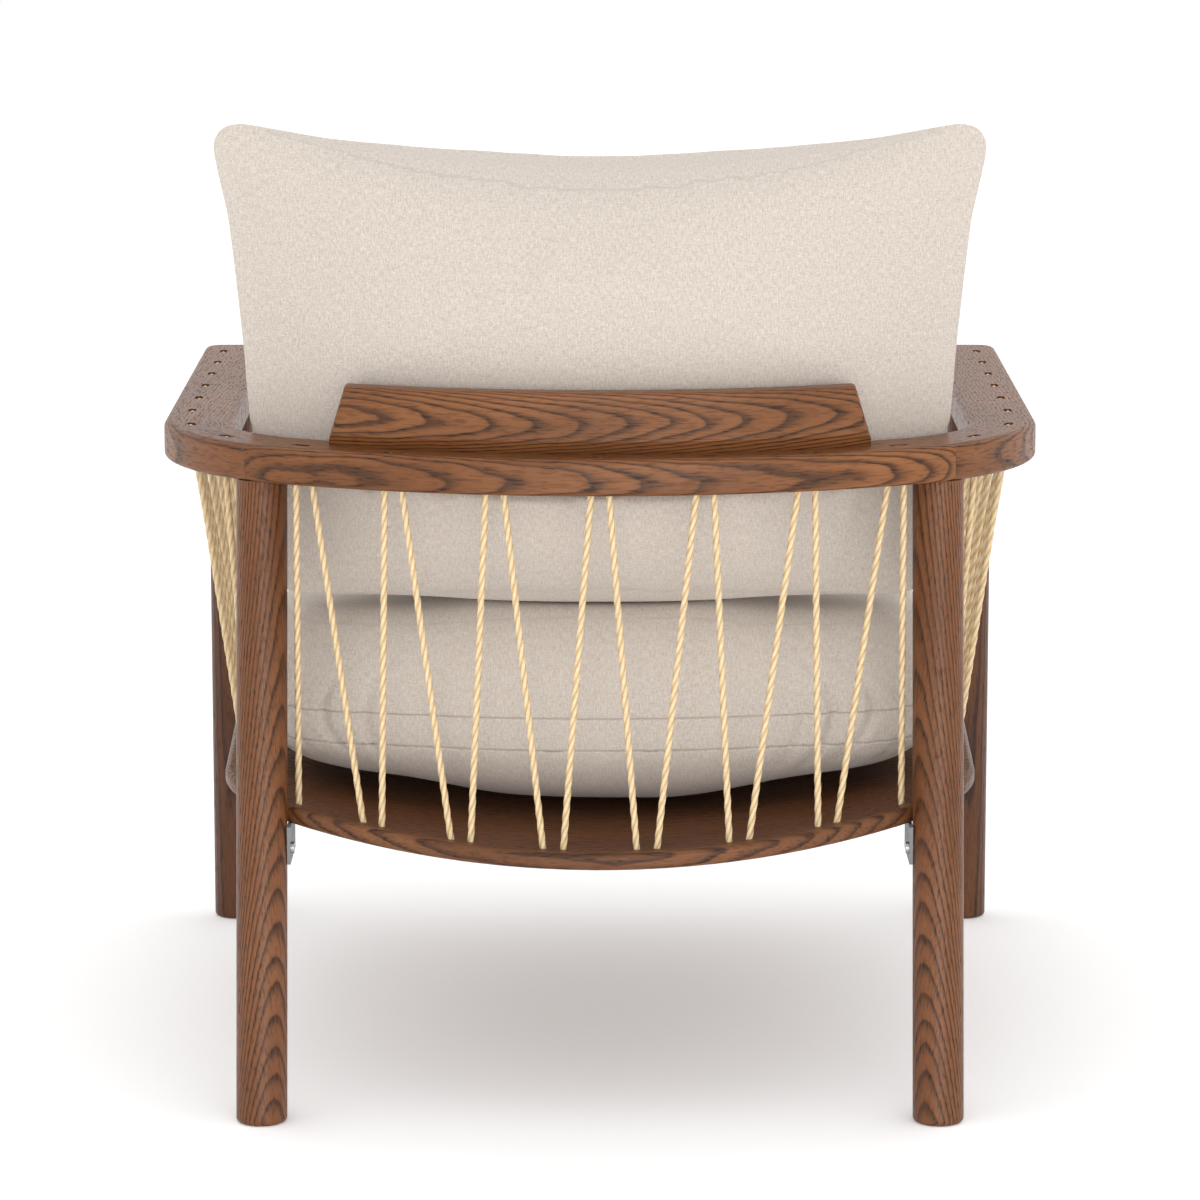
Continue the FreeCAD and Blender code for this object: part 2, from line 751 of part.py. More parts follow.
def leg_blank(name, side, which):
    """A turned leg with a round tenon: a bar, squared to the floor and to the rail's underside."""
    start, along = tenon_line(which, side)
    bar = doc.addObject("Part::Cylinder", f"{name}_bar")
    bar.setExpression("Radius", "Sizes.leg_diameter / 2")
    bar.Height = rail_top * 1.4
    turn = Rotation(UP, along)
    bar.Placement = Placement(start - along * rail_top * 1.2, turn)
    slab = doc.addObject("Part::Box", f"{name}_slab")
    slab.Length = 4 * size("leg_diameter") + 2 * SPARE
    slab.Width = rail_top
    slab.setExpression("Height", "Sizes.rail_top - Sizes.rail_thickness")
    slab.Placement = Placement(Vector(start.x - slab.Length.Value / 2, start.y - rail_top / 2, 0), Rotation())
    squared = common(f"{name}_squared", bar, slab)
    foot = doc.addObject("Part::Fillet", f"{name}_foot")
    foot.Base = squared
    radius = size("foot_round")
    rim = [(n, radius, radius) for n, e in enumerate(squared.Shape.Edges, start=1) if e.BoundBox.ZMax < 0.01]
    foot.Edges = rim
    doc.recompute()
    tenon = doc.addObject("Part::Cylinder", f"{name}_tenon")
    tenon.setExpression("Radius", "Sizes.tenon_diameter / 2")
    tenon.setExpression("Height", "Sizes.tenon_length * 2")
    tenon.Placement = Placement(start - along * size("tenon_length"), turn)
    joined = doc.addObject("Part::Fuse", f"{name}_joined")
    joined.Base = foot
    joined.Tool = tenon
    doc.recompute()
    return joined


def make_legs():
    for which in ("back", "front"):
        for name, side in SIDES:
            node = f"leg_{which}_{name}"
            blank = leg_blank(f"{which}_{name}", side, which)
            hole = feature_from(f"{node}_hole", insert_hole(which, side))
            keep(cut(f"{node}_cut", blank, hole), node)


# ---------------------------------------------------------- seat shell and fixings


def bracket_frame(which):
    """x of the leg's inner side, the leg's depth there, and the shell's underside there."""
    if which == "back":
        x = size("back_leg_half_width") - leg_radius
        z = shell_under(x)
        depth = back_leg_axis(z - size("bracket_drop") / 2)[1]
    else:
        x = size("front_leg_half_width") - leg_radius
        z = shell_under(x)
        depth = size("front_leg_depth")
    return x, depth, z


def bolt_line(which, side):
    """From the bracket's upright flange into the leg."""
    x, depth, z = bracket_frame(which)
    height = z - 0.6 * size("bracket_drop")
    return at(side * (x - size("bracket_thickness")), depth, height), Vector(side, 0, 0)


def insert_hole(which, side):
    start, along = bolt_line(which, side)
    radius = size("insert_diameter") / 2 + size("fit_gap")
    inner = start + along * size("bracket_thickness")
    return rod(inner - along * SPARE / 4, inner + along * (leg_radius + 1), radius)


def make_inserts():
    inserts = []
    for which in ("back", "front"):
        for _, side in SIDES:
            start, along = bolt_line(which, side)
            first = start + along * (size("bracket_thickness") + 1)
            last = first + along * (leg_radius - 1)
            body = rod(first, last, size("insert_diameter") / 2)
            bore = size("bolt_diameter") / 2 + size("fit_gap")
            inserts.append(body.cut(rod(first - along, last + along, bore)))
    return keep(feature_from("insert_set", Part.makeCompound(inserts)), "leg_inserts")


def make_bolts():
    bolts = []
    radius = size("bolt_diameter") / 2
    for which in ("back", "front"):
        for _, side in SIDES:
            start, along = bolt_line(which, side)
            shank = rod(start, start + along * (leg_radius - 2), radius)
            head = rod(start - along * radius, start, radius * 1.7)
            bolts.append(head.fuse(shank).removeSplitter())
    return keep(feature_from("bolt_set", Part.makeCompound(bolts)), "bracket_bolts")


def flange_screw_feet(which, side):
    """Where the two shell screws of a bracket enter its flat flange, and the way they run."""
    x, depth, _ = bracket_frame(which)
    feet = []
    for reach in (14, 30):
        there = x - size("bracket_thickness") - reach
        lean = math.asin(there / shell_outer)
        normal = Vector(-side * math.sin(lean), 0, math.cos(lean))
        under = shell_under(there) - size("notch_gap") - size("bracket_thickness") - size("fit_gap")
        inward = size("back_screw_shift") if which == "back" else 0
        feet.append((at(side * there, depth + inward, under), normal))
    return feet


def all_flange_screws(slack=0.0):
    length = size("bracket_thickness") + size("shell_thickness") - 3
    shapes = []
    for which in ("back", "front"):
        for _, side in SIDES:
            for foot, normal in flange_screw_feet(which, side):
                shank = size("screw_diameter") / 2 + slack
                shapes.append((rod(foot, foot + normal * (length + slack), shank), foot, normal))
    return shapes


def make_flange_screws():
    screws = []
    for shank, foot, normal in all_flange_screws():
        head = rod(foot - normal * size("screw_diameter") / 2, foot, size("screw_head") / 2)
        screws.append(shank.fuse(head).removeSplitter())
    return keep(feature_from("flange_screw_set", Part.makeCompound(screws)), "shell_screws")


def make_brackets():
    """Bent plates: an upright flange against the leg and a flat one under the shell."""
    holes = [shape for shape, _, _ in all_flange_screws(size("fit_gap"))] + loop_reliefs()
    thick = size("bracket_thickness")
    for which in ("back", "front"):
        x, depth, _ = bracket_frame(which)
        width = size("back_bracket_width") if which == "back" else size("bracket_width")
        inset = size("flange_inset") if which == "back" else size("shell_edge_round")
        front = size("shell_front") - size("shell_edge_round")
        room = plan_face(shell_plan, front, inset).extrude(UP * rail_top)
        for name, side in SIDES:
            body = doc.addObject("PartDesign::Body", f"bracket_{which}_{name}_body")
            top = shell_under(x) - size("notch_gap")
            far = x - size("bracket_reach")
            low_far = shell_under(far) - size("notch_gap")
            outline = [
                (x, top),
                (x, top - size("bracket_drop")),
                (x - thick, top - size("bracket_drop")),
                (x - thick, top - thick * 1.3),
                (far, low_far - thick),
                (far, low_far),
            ]
            flat = [Vector(side * px, pz, 0) for px, pz in outline]
            lines = [Part.LineSegment(a, b) for a, b in zip(flat, flat[1:] + flat[:1])]
            # On the XZ plane a sketch's y runs along the row's Z, and a pad runs along -Y.
            sketch = sketch_of(body, f"bracket_{which}_{name}_bend", lines, "XZ_Plane")
            rear = at(0, depth + bracket_shift(which) - width / 2, 0).y
            sketch.AttachmentOffset = Placement(Vector(0, 0, -rear), Rotation())
            alias = "Sizes.back_bracket_width" if which == "back" else "Sizes.bracket_width"
            pad(body, f"bracket_{which}_{name}_pad", sketch, alias)
            low_corner = Vector(min(side * x, side * (x - thick)), at(0, depth, 0).y - 2 * width, 0)
            upright = Part.makeBox(thick, 4 * width, rail_top, low_corner)
            allowed = feature_from(f"bracket_{which}_{name}_room", room.fuse(upright))
            trimmed = common(f"bracket_{which}_{name}_trimmed", body, allowed)
            start, along = bolt_line(which, side)
            bolt_hole = rod(start - along * SPARE / 4, start + along * SPARE / 4,
                            size("bolt_diameter") / 2 + size("fit_gap"))
            tool = feature_from(f"bracket_{which}_{name}_holes", Part.makeCompound(holes + [bolt_hole]))
            keep(cut(f"bracket_{which}_{name}_cut", trimmed, tool), f"bracket_{which}_{name}")


def bracket_shift(which):
    """How far forward of the leg's axis the middle of a bracket lies."""
    return size("back_bracket_shift") if which == "back" else 0


def make_shell(in_shell):
    body = doc.addObject("PartDesign::Body", "shell_outline")
    sketch = sketch_of(body, "shell_plan", flat_geometry(plan_face(shell_plan, size("shell_front"))))
    sketch.setExpression("AttachmentOffset.Base.z", "Sizes.shell_low - 10")
    blank = pad(body, "shell_pad", sketch, "Sizes.shell_thickness + 120")
    front = at(0, size("shell_front"), 0).y

    def front_corner(edge):
        return edge.BoundBox.ZLength > 1 and abs(edge.BoundBox.YMin - front) < 0.01

    fillet_edges(body, "shell_front_rounding", blank, "Sizes.shell_front_radius", front_corner)
    under = doc.addObject("Part::Cylinder", "shell_under_face")
    upper = doc.addObject("Part::Cylinder", "shell_upper_face")
    under.setExpression("Radius", "Sizes.shell_bend + Sizes.shell_thickness")
    upper.setExpression("Radius", "Sizes.shell_bend")
    for cylinder in (under, upper):
        cylinder.Height = 3 * size("shell_front")
        start = Vector(0, cylinder.Height.Value / 2, shell_axis)
        cylinder.Placement = Placement(start, Rotation(Vector(1, 0, 0), 90))
    lower = common("shell_lower", body, under)
    board = cut("shell_board", lower, upper)
    rounding = doc.addObject("Part::Fillet", "shell_rounding")
    rounding.Base = board
    radius = size("shell_edge_round")
    rim = [(n, radius, radius) for n, e in enumerate(board.Shape.Edges, start=1) if not is_short_upright(e)]
    rounding.Edges = rim
    doc.recompute()
    if not rounding.Shape.isValid() or rounding.Shape.isNull():
        raise ValueError("the shell's rounded edge failed")
    notches = []
    for which in ("back", "front"):
        for _, side in SIDES:
            start, along = tenon_line(which, side)
            notches.append(rod(start - along * rail_top, start, leg_radius + size("notch_gap")))
    screws = [shape for shape, _, _ in all_flange_screws(size("fit_gap"))]
    tools = feature_from("shell_bores", Part.makeCompound(in_shell + notches + screws))
    keep(cut("shell_cut", rounding, tools), "seat_shell")


def is_short_upright(edge):
    """True on the edges between two faces of the board's rim."""
    a, b = edge.valueAt(edge.FirstParameter), edge.valueAt(edge.LastParameter)
    return abs(a.x - b.x) < 1e-3 and abs(a.y - b.y) < 1e-3


# ---------------------------------------------------------------- the cushions


def seat_block(shrink):
    """The seat cushion: a D-shaped block with round edges that lies in the dished shell."""
    front = size("seat_front") - shrink
    low = size("shell_low")
    face = plan_face(seat_plan, front, shrink, low)
    top = size("seat_top") - shrink
    block = face.extrude(UP * (top - low))
    uprights = [
        e for e in block.Edges if e.BoundBox.ZLength > 1 and abs(e.BoundBox.YMin - at(0, front, 0).y) < 0.01
    ]
    block = block.makeFillet(size("seat_corner_radius") / 2, uprights)
    rim = [e for e in block.Edges if e.BoundBox.ZMin > top - 0.01]
    block = block.makeFillet(size("seat_round"), rim)
    bed = shell_upper_cylinder(size("soft_gap") + shrink)
    return block.common(bed)


def shell_upper_cylinder(gap):
    length = 3 * size("shell_front")
    start = Vector(0, length / 2, shell_axis)
    return Part.makeCylinder(size("shell_bend") - gap, length, start, Vector(0, -1, 0))


def back_block(shrink):
    """The back cushion: an upright pillow on the seat cushion, leaning on the rail."""
    lean = math.radians(size("back_lean"))
    turned, rounding = rail_top - size("top_round"), size("back_round")
    base = size("seat_top") + size("soft_gap")
    # Leaning lifts the rounded rear edge that the cushion stands on, so it starts that much lower.
    base -= (turned - base) * (1 - math.cos(lean)) + rounding * (math.cos(lean) + math.sin(lean) - 1)
    face = plan_face(back_plan, size("back_front") - shrink, shrink, base + shrink)
    block = face.extrude(UP * (size("back_height") - 2 * shrink))
    front = at(0, size("back_front") - shrink, 0).y
    uprights = [e for e in block.Edges if e.BoundBox.ZLength > 1 and abs(e.BoundBox.YMin - front) < 0.01]
    block = block.makeFillet(rounding, uprights)
    rims = [e for e in block.Edges if e.BoundBox.ZLength < 0.01]
    block = block.makeFillet(rounding, rims)
    hinge = at(0, back_plan.rear, turned)
    block.rotate(hinge, Vector(1, 0, 0), -size("back_lean"))
    return block


def make_cushion(name, block):
    """A hollow cover and the filling that it holds."""
    wall, gap = size("cover_thickness"), size("core_gap")
    cover = block(0).cut(block(wall))
    keep(feature_from(f"{name}_cover_shape", cover), f"{name}_cover")
    keep(feature_from(f"{name}_core_shape", block(wall + gap)), f"{name}_core")


# ------------------------------------------------------------------- build it

in_rail, in_shell = lacing_tools()
make_rail(in_rail)
make_dowels()
make_crest()
make_crest_screws()
make_legs()
make_shell(in_shell)
make_brackets()
make_bolts()
make_inserts()
make_flange_screws()
make_cord()
make_knots()
make_cushion("seat_cushion", seat_block)
make_cushion("back_cushion", back_block)

doc.recompute()
for thing in doc.Objects:
    if "Invalid" in thing.State or "Error" in thing.State:
        raise ValueError(f"{thing.Label} failed: {thing.State}")
for node, feature in exported:
    shape = feature.Shape
    if shape.isNull() or not shape.isValid():
        raise ValueError(f"{node} has no valid shape")

os.makedirs("parts", exist_ok=True)
for node, feature in exported:
    feature.Shape.exportStep(f"parts/{node}.step")
    box = feature.Shape.BoundBox
    print(node, len(feature.Shape.Solids), "solids", round(feature.Shape.Volume / 1000), "cm3",
          [round(v, 1) for v in (box.XMin, box.XMax, box.YMin, box.YMax, box.ZMin, box.ZMax)])
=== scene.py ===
"""Lounge armchair: finished surfaces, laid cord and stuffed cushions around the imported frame.

Row frame, metres: +Z up, the sitter faces -Y, the floor is z = 0.
"""
import math

import bmesh
import bpy
import numpy as np
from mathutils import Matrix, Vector


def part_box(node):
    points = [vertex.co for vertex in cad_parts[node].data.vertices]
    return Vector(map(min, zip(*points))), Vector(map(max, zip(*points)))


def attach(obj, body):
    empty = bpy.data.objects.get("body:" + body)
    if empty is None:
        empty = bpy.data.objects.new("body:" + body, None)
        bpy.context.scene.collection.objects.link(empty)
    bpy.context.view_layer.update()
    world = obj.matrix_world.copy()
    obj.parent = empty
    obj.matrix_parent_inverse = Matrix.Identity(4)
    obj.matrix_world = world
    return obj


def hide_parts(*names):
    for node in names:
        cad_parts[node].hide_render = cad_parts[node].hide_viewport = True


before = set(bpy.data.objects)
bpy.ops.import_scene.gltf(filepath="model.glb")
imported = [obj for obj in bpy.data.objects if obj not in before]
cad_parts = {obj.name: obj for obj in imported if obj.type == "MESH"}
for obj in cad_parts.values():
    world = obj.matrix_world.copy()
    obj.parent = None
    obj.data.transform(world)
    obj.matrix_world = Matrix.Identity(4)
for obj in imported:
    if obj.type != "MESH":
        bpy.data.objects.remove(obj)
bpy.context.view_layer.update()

MM = 0.001
RAIL_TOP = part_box("rail_back")[1].z
RAIL_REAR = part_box("rail_back")[1].y
SEAT_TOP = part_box("seat_cushion_cover")[1].z
CREST_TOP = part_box("crest_board")[1].z

# The bent rail, in metres: the radius of its back's middle line, then the centre of its corner bends
# and the radius of their middle line.
BAND_RADIUS = 0.55
CORNER_X, CORNER_DEPTH, CORNER_BEND = 0.1966, 0.2452, 0.2
CORNER_Y = RAIL_REAR - CORNER_DEPTH

# Stained oak: the rings' dark bands, the wood between them, and its palest patches. Beech has no stain.
OAK_TONES = ("#29160A", "#764725", "#966037")
BOARD_TONES = ("#27140A", "#6A4022", "#875633")
# The front legs' tones are darker than the back legs' as painted shade: the same oak, darkened because
# the front legs stand in shadow.
LEG_TONES_FRONT_SHADED = {"back": ("#28150A", "#724425", "#8C5936"), "front": ("#201008", "#5A3319", "#704426")}
BEECH_TONES = ("#B08A60", "#C8A477", "#D5B68C")
PORE_TONE = "#241208"

# Width across and length along the grain of each pattern in the timber, in millimetres.
GRAIN_CELLS = {
    "wander": (90, 260),
    "ripple": (14, 52),
    "pores": (1.4, 13),
    "fibres": (2.2, 70),
    "clouds": (60, 240),
}


def at(x, depth, z):
    """A point from a half width, a depth forward of the rail's rear face and a height, in metres."""
    return Vector((x, RAIL_REAR - depth, z))


# ------------------------------------------------------------ objects and curves


def link(obj):
    bpy.context.scene.collection.objects.link(obj)
    return obj


def mesh_object(name, vertices, faces):
    mesh = bpy.data.meshes.new(name)
    mesh.from_pydata(vertices, [], faces)
    mesh.update()
    return link(bpy.data.objects.new(name, mesh))


def baked(obj, name=None):
    """The object with its modifiers turned into plain mesh."""
    depsgraph = bpy.context.evaluated_depsgraph_get()
    mesh = bpy.data.meshes.new_from_object(obj.evaluated_get(depsgraph))
    obj.modifiers.clear()
    if obj.type == "MESH":
        old = obj.data
        obj.data = mesh
        bpy.data.meshes.remove(old)
        return obj
    fresh = link(bpy.data.objects.new(name or obj.name, mesh))
    bpy.data.objects.remove(obj)
    return fresh


# ---------------------------------------------------------------------- materials


def linear(hexcode):
    """An sRGB hex colour as linear RGBA."""
    parts = [int(hexcode[i : i + 2], 16) / 255 for i in (1, 3, 5)]
    return [c / 12.92 if c <= 0.04045 else ((c + 0.055) / 1.055) ** 2.4 for c in parts] + [1.0]


def add_node(tree, kind, settings=None, **inputs):
    """Adds a node, sets its own settings, then its inputs: a value, or a socket to link from.

    An input is named as in the node, with spaces as underscores, or in_0, in_1 by number."""
    node = tree.nodes.new(kind)
    for name, value in (settings or {}).items():
        setattr(node, name, value)
    for name, value in inputs.items():
        if name.startswith("in_"):
            socket = node.inputs[int(name[3:])]
        else:
            socket = node.inputs[name.replace("_", " ")]
        if isinstance(value, bpy.types.NodeSocket):
            tree.links.new(value, socket)
        else:
            socket.default_value = value
    return node


def ramp(tree, factor, stops):
    """A colour ramp over (position, hex or grey level) stops."""
    node = add_node(tree, "ShaderNodeValToRGB", Fac=factor)
    elements = node.color_ramp.elements
    while len(elements) < len(stops):
        elements.new(0.5)
    for element, (position, colour) in zip(elements, stops):
        element.position = position
        element.color = linear(colour) if isinstance(colour, str) else [colour, colour, colour, 1.0]
    return node.outputs["Color"]


def math_node(tree, operation, first, second=0.0):
    node = add_node(tree, "ShaderNodeMath", {"operation": operation}, in_0=first, in_1=second)
    return node.outputs[0]


def mix_colour(tree, blend, factor, first, second):
    settings = {"data_type": "RGBA", "blend_type": blend}
    return add_node(tree, "ShaderNodeMix", settings, in_0=factor, in_6=first, in_7=second).outputs[2]


def new_material(name):
    material = bpy.data.materials.new(name)
    material.use_nodes = True
    tree = material.node_tree
    tree.nodes.clear()
    shader = add_node(tree, "ShaderNodeBsdfPrincipled")
    output = add_node(tree, "ShaderNodeOutputMaterial")
    tree.links.new(shader.outputs["BSDF"], output.inputs["Surface"])
    return material, tree, shader


def object_xyz(tree):
    place = add_node(tree, "ShaderNodeTexCoord").outputs["Object"]
    split = add_node(tree, "ShaderNodeSeparateXYZ", Vector=place)
    return place, split.outputs


def stretched_noise(tree, place, scales, detail=2.0, roughness=0.5):
    """Noise whose cells have a different size along each axis, from cells per metre."""
    mapped = add_node(tree, "ShaderNodeMapping", Vector=place, Scale=scales)
    noise = add_node(
        tree, "ShaderNodeTexNoise",
        Vector=mapped.outputs[0], Scale=1.0, Detail=detail, Roughness=roughness,
    )
    return noise.outputs["Fac"]


def grain_space(tree, run):
    """Places measured the way the timber's fibres run: across, along or up, in metres.

    "bent" follows the band bent round the back, "cornered" an arm and its bent corner."""
    _, (x, y, z) = object_xyz(tree)
    if run == "bent":
        sag = math_node(tree, "MULTIPLY", math_node(tree, "MULTIPLY", x, x), 0.5 / BAND_RADIUS)
        y = math_node(tree, "ADD", y, sag)
    elif run == "cornered":
        outward = math_node(tree, "SUBTRACT", math_node(tree, "ABSOLUTE", x), CORNER_X)
        outward = math_node(tree, "MAXIMUM", outward, 0.0)
        past_corner = math_node(tree, "SUBTRACT", y, CORNER_Y)
        rearward = math_node(tree, "MAXIMUM", past_corner, 0.0)
        ahead = math_node(tree, "MINIMUM", past_corner, 0.0)
        turn = math_node(tree, "ARCTAN2", rearward, outward)
        squares = [math_node(tree, "MULTIPLY", offset, offset) for offset in (outward, rearward)]
        x = math_node(tree, "SQRT", math_node(tree, "ADD", *squares))
        y = math_node(tree, "ADD", ahead, math_node(tree, "MULTIPLY", turn, CORNER_BEND))
    return add_node(tree, "ShaderNodeCombineXYZ", X=x, Y=y, Z=z).outputs[0], (x, y, z)


def stained_oak(
    name, grain, pith, taper, ring_mm, seed,
    tones=OAK_TONES, run="straight", wander_mm=22, ripple_mm=2.6,
):
    """Oak, stained brown and oiled, left open-grained.

    Dark bands are the porous early wood of each year's ring, seen as long stripes on a quartered
    face and as nested arches on a flat-sawn one; fine dark dashes are the open pores, 0.3 mm wide
    on the real timber and drawn at 1.4 mm so that they show. The oil gives a soft, wide highlight.
    grain is 0, 1 or 2 for the axis the grain runs along, pith is the point that the rings
    surround, taper is how fast they widen along the grain, and wander_mm and ripple_mm are how far
    they stray from true in long waves and in short ones."""
    material, tree, shader = new_material(name)
    place, xyz = grain_space(tree, run)
    across = [axis for axis in (0, 1, 2) if axis != grain]

    shifted = add_node(tree, "ShaderNodeMapping", Vector=place, Location=(seed, seed * 0.7, seed * 1.3))
    shifted = shifted.outputs[0]

    def grain_noise(pattern, detail, roughness=0.5):
        """Noise with one of the timber's patterns, long along the grain."""
        width, length = GRAIN_CELLS[pattern]
        scales = [1 / ((length if axis == grain else width) * MM) for axis in range(3)]
        return stretched_noise(tree, shifted, scales, detail, roughness)

    def stray(pattern, detail, reach_mm):
        centred = math_node(tree, "SUBTRACT", grain_noise(pattern, detail), 0.5)
        return math_node(tree, "MULTIPLY", centred, reach_mm * MM)

    wander = stray("wander", 3.0, wander_mm)
    ripple = stray("ripple", 2.5, ripple_mm)
    squares = []
    for axis in across:
        offset = math_node(tree, "SUBTRACT", xyz[axis], pith[axis])
        squares.append(math_node(tree, "MULTIPLY", offset, offset))
    distance = math_node(tree, "SQRT", math_node(tree, "ADD", *squares))
    distance = math_node(tree, "ADD", distance, math_node(tree, "MULTIPLY", xyz[grain], taper))
    distance = math_node(tree, "ADD", math_node(tree, "ADD", distance, wander), ripple)
    year = math_node(tree, "FRACT", math_node(tree, "MULTIPLY", distance, 1.0 / (ring_mm * MM)))
    # A sharp, thin start to each ring, fading over the first third of it.
    early = ramp(tree, year, [
        (0.0, 0.3), (0.07, 0.95), (0.2, 0.8), (0.4, 0.3), (0.65, 0.08), (0.93, 0.1), (1.0, 0.3),
    ])

    pores = ramp(tree, grain_noise("pores", 1.0), [(0.52, 0.0), (0.66, 1.0)])
    fibres = grain_noise("fibres", 3.0, roughness=0.6)
    clouds = grain_noise("clouds", 2.0)

    dark, middle, light = (linear(tone) for tone in tones)
    base = mix_colour(tree, "MIX", ramp(tree, clouds, [(0.3, 0.0), (0.7, 1.0)]), middle, light)
    patchy = math_node(tree, "ADD", math_node(tree, "MULTIPLY", clouds, 0.5), 0.55)
    base = mix_colour(tree, "MIX", math_node(tree, "MULTIPLY", early, patchy), base, dark)
    # The pores crowd in the early wood.
    crowding = math_node(tree, "ADD", math_node(tree, "MULTIPLY", early, 0.6), 0.22)
    crowded = math_node(tree, "MULTIPLY", pores, crowding)
    base = mix_colour(tree, "MIX", crowded, base, linear(PORE_TONE))
    fibre_tone = ramp(tree, fibres, [(0.25, 0.70), (0.5, 0.93), (0.8, 1.0)])
    base = mix_colour(tree, "MULTIPLY", 0.8, base, fibre_tone)
    tree.links.new(base, shader.inputs["Base Color"])

    rough = math_node(tree, "ADD", math_node(tree, "MULTIPLY", pores, 0.2), 0.34)
    rough = math_node(tree, "ADD", rough, math_node(tree, "MULTIPLY", fibres, 0.1))
    tree.links.new(rough, shader.inputs["Roughness"])
    sunk = math_node(tree, "MULTIPLY", pores, -1.0)
    height = math_node(tree, "ADD", sunk, math_node(tree, "MULTIPLY", fibres, 0.5))
    bump = add_node(tree, "ShaderNodeBump", Height=height, Strength=0.3, Distance=0.4 * MM)
    tree.links.new(bump.outputs[0], shader.inputs["Normal"])
    shader.inputs["IOR"].default_value = 1.5
    shader.inputs["Specular IOR Level"].default_value = 0.26
    shader.inputs["Coat Weight"].default_value = 0.08
    shader.inputs["Coat Roughness"].default_value = 0.25
    return material


def linen_weave(name):
    """Cream linen and cotton in a plain weave, slubbed, unglazed.

    Warp and weft threads are 0.9 mm apart on the real cloth and drawn at 2.2 mm so that they show; the
    slubs, 1.4 mm wide and 5.3 mm long, give paler and darker dashes both ways, and loose fibres a soft
    glow at the edges."""
    material, tree, shader = new_material(name)
    place, _ = object_xyz(tree)
    thread = 2.2 * MM
    uv = add_node(tree, "ShaderNodeAttribute", {"attribute_name": "cloth"}).outputs["Vector"]
    cloth = add_node(tree, "ShaderNodeSeparateXYZ", Vector=uv).outputs
    turns = 2 * math.pi / thread
    warp = math_node(tree, "SINE", math_node(tree, "MULTIPLY", cloth[0], turns))
    weft = math_node(tree, "SINE", math_node(tree, "MULTIPLY", cloth[1], turns))
    weave = math_node(tree, "MULTIPLY", warp, weft)
    thin, long, loose = 720.0, 190.0, 780.0  # cells per metre across a slub, along it and in the fluff
    upright = stretched_noise(tree, uv, (thin, long, 1.0), detail=2.0)
    level = stretched_noise(tree, uv, (long, thin, 1.0), detail=2.0)
    grit = stretched_noise(tree, place, (loose, loose, loose), detail=2.0)
    upright = math_node(tree, "MULTIPLY", upright, 0.62)
    slubs = math_node(tree, "ADD", upright, math_node(tree, "MULTIPLY", level, 0.38))
    tone = ramp(tree, slubs, [
        (0.36, "#C0B4A8"), (0.47, "#C9BEB3"), (0.56, "#CFC5BB"), (0.68, "#D6CEC5"),
    ])
    speck = ramp(tree, grit, [(0.34, 0.80), (0.58, 1.0)])
    tone = mix_colour(tree, "MULTIPLY", 0.6, tone, speck)
    # Painted shade: the sunk seam lines are darkened towards a grey brown, for the shade in their
    # creases.
    seam_shade = add_node(tree, "ShaderNodeAttribute", {"attribute_name": "seam"}).outputs["Fac"]
    tone = mix_colour(tree, "MIX", math_node(tree, "MULTIPLY", seam_shade, 0.5), tone, linear("#8E7D6C"))
    tree.links.new(tone, shader.inputs["Base Color"])
    height = math_node(tree, "MULTIPLY", weave, 0.3)
    height = math_node(tree, "ADD", height, math_node(tree, "MULTIPLY", slubs, 1.2))
    height = math_node(tree, "ADD", height, math_node(tree, "MULTIPLY", grit, 0.8))
    bump = add_node(tree, "ShaderNodeBump", Height=height, Strength=0.5, Distance=0.5 * MM)
    tree.links.new(bump.outputs[0], shader.inputs["Normal"])
    shader.inputs["Roughness"].default_value = 0.94
    shader.inputs["Specular IOR Level"].default_value = 0.15
    shader.inputs["Sheen Weight"].default_value = 0.25
    shader.inputs["Sheen Roughness"].default_value = 0.6
    return material


def laid_paper_cord(name):
    """Three strands of twisted, unbleached paper, laid into a cord and lightly waxed.

    Straw yellow, with painted shade darkening the valleys between strands, and fine creases along each
    strand."""
    material, tree, shader = new_material(name)
    place, _ = object_xyz(tree)
    groove = add_node(tree, "ShaderNodeAttribute", {"attribute_name": "groove"}).outputs["Fac"]
    lay = add_node(tree, "ShaderNodeAttribute", {"attribute_name": "lay"}).outputs["Vector"]
    creases = stretched_noise(tree, lay, (1.0, 1.0, 0.35), detail=3.0)
    patches = stretched_noise(tree, place, (30.0, 30.0, 30.0), detail=2.0)
    tone = ramp(tree, creases, [(0.3, "#D8C096"), (0.5, "#E6D2AC"), (0.7, "#F0E0C2")])
    patches = ramp(tree, patches, [(0.35, 0.0), (0.75, 0.35)])
    tone = mix_colour(tree, "MIX", patches, tone, linear("#EBDABA"))
    # Painted shade: the cord's colour is darkened towards the valleys between its strands, where shade
    # would fall.
    painted_valley_shade = ramp(tree, groove, [(0.0, "#C7A374"), (0.3, "#F0E3CB"), (1.0, "#FFFFFF")])
    tone = mix_colour(tree, "MULTIPLY", 0.85, tone, painted_valley_shade)
    tree.links.new(tone, shader.inputs["Base Color"])
    bump = add_node(tree, "ShaderNodeBump", Height=creases, Strength=0.35, Distance=0.3 * MM)
    tree.links.new(bump.outputs[0], shader.inputs["Normal"])
    shader.inputs["Roughness"].default_value = 0.62
    return material


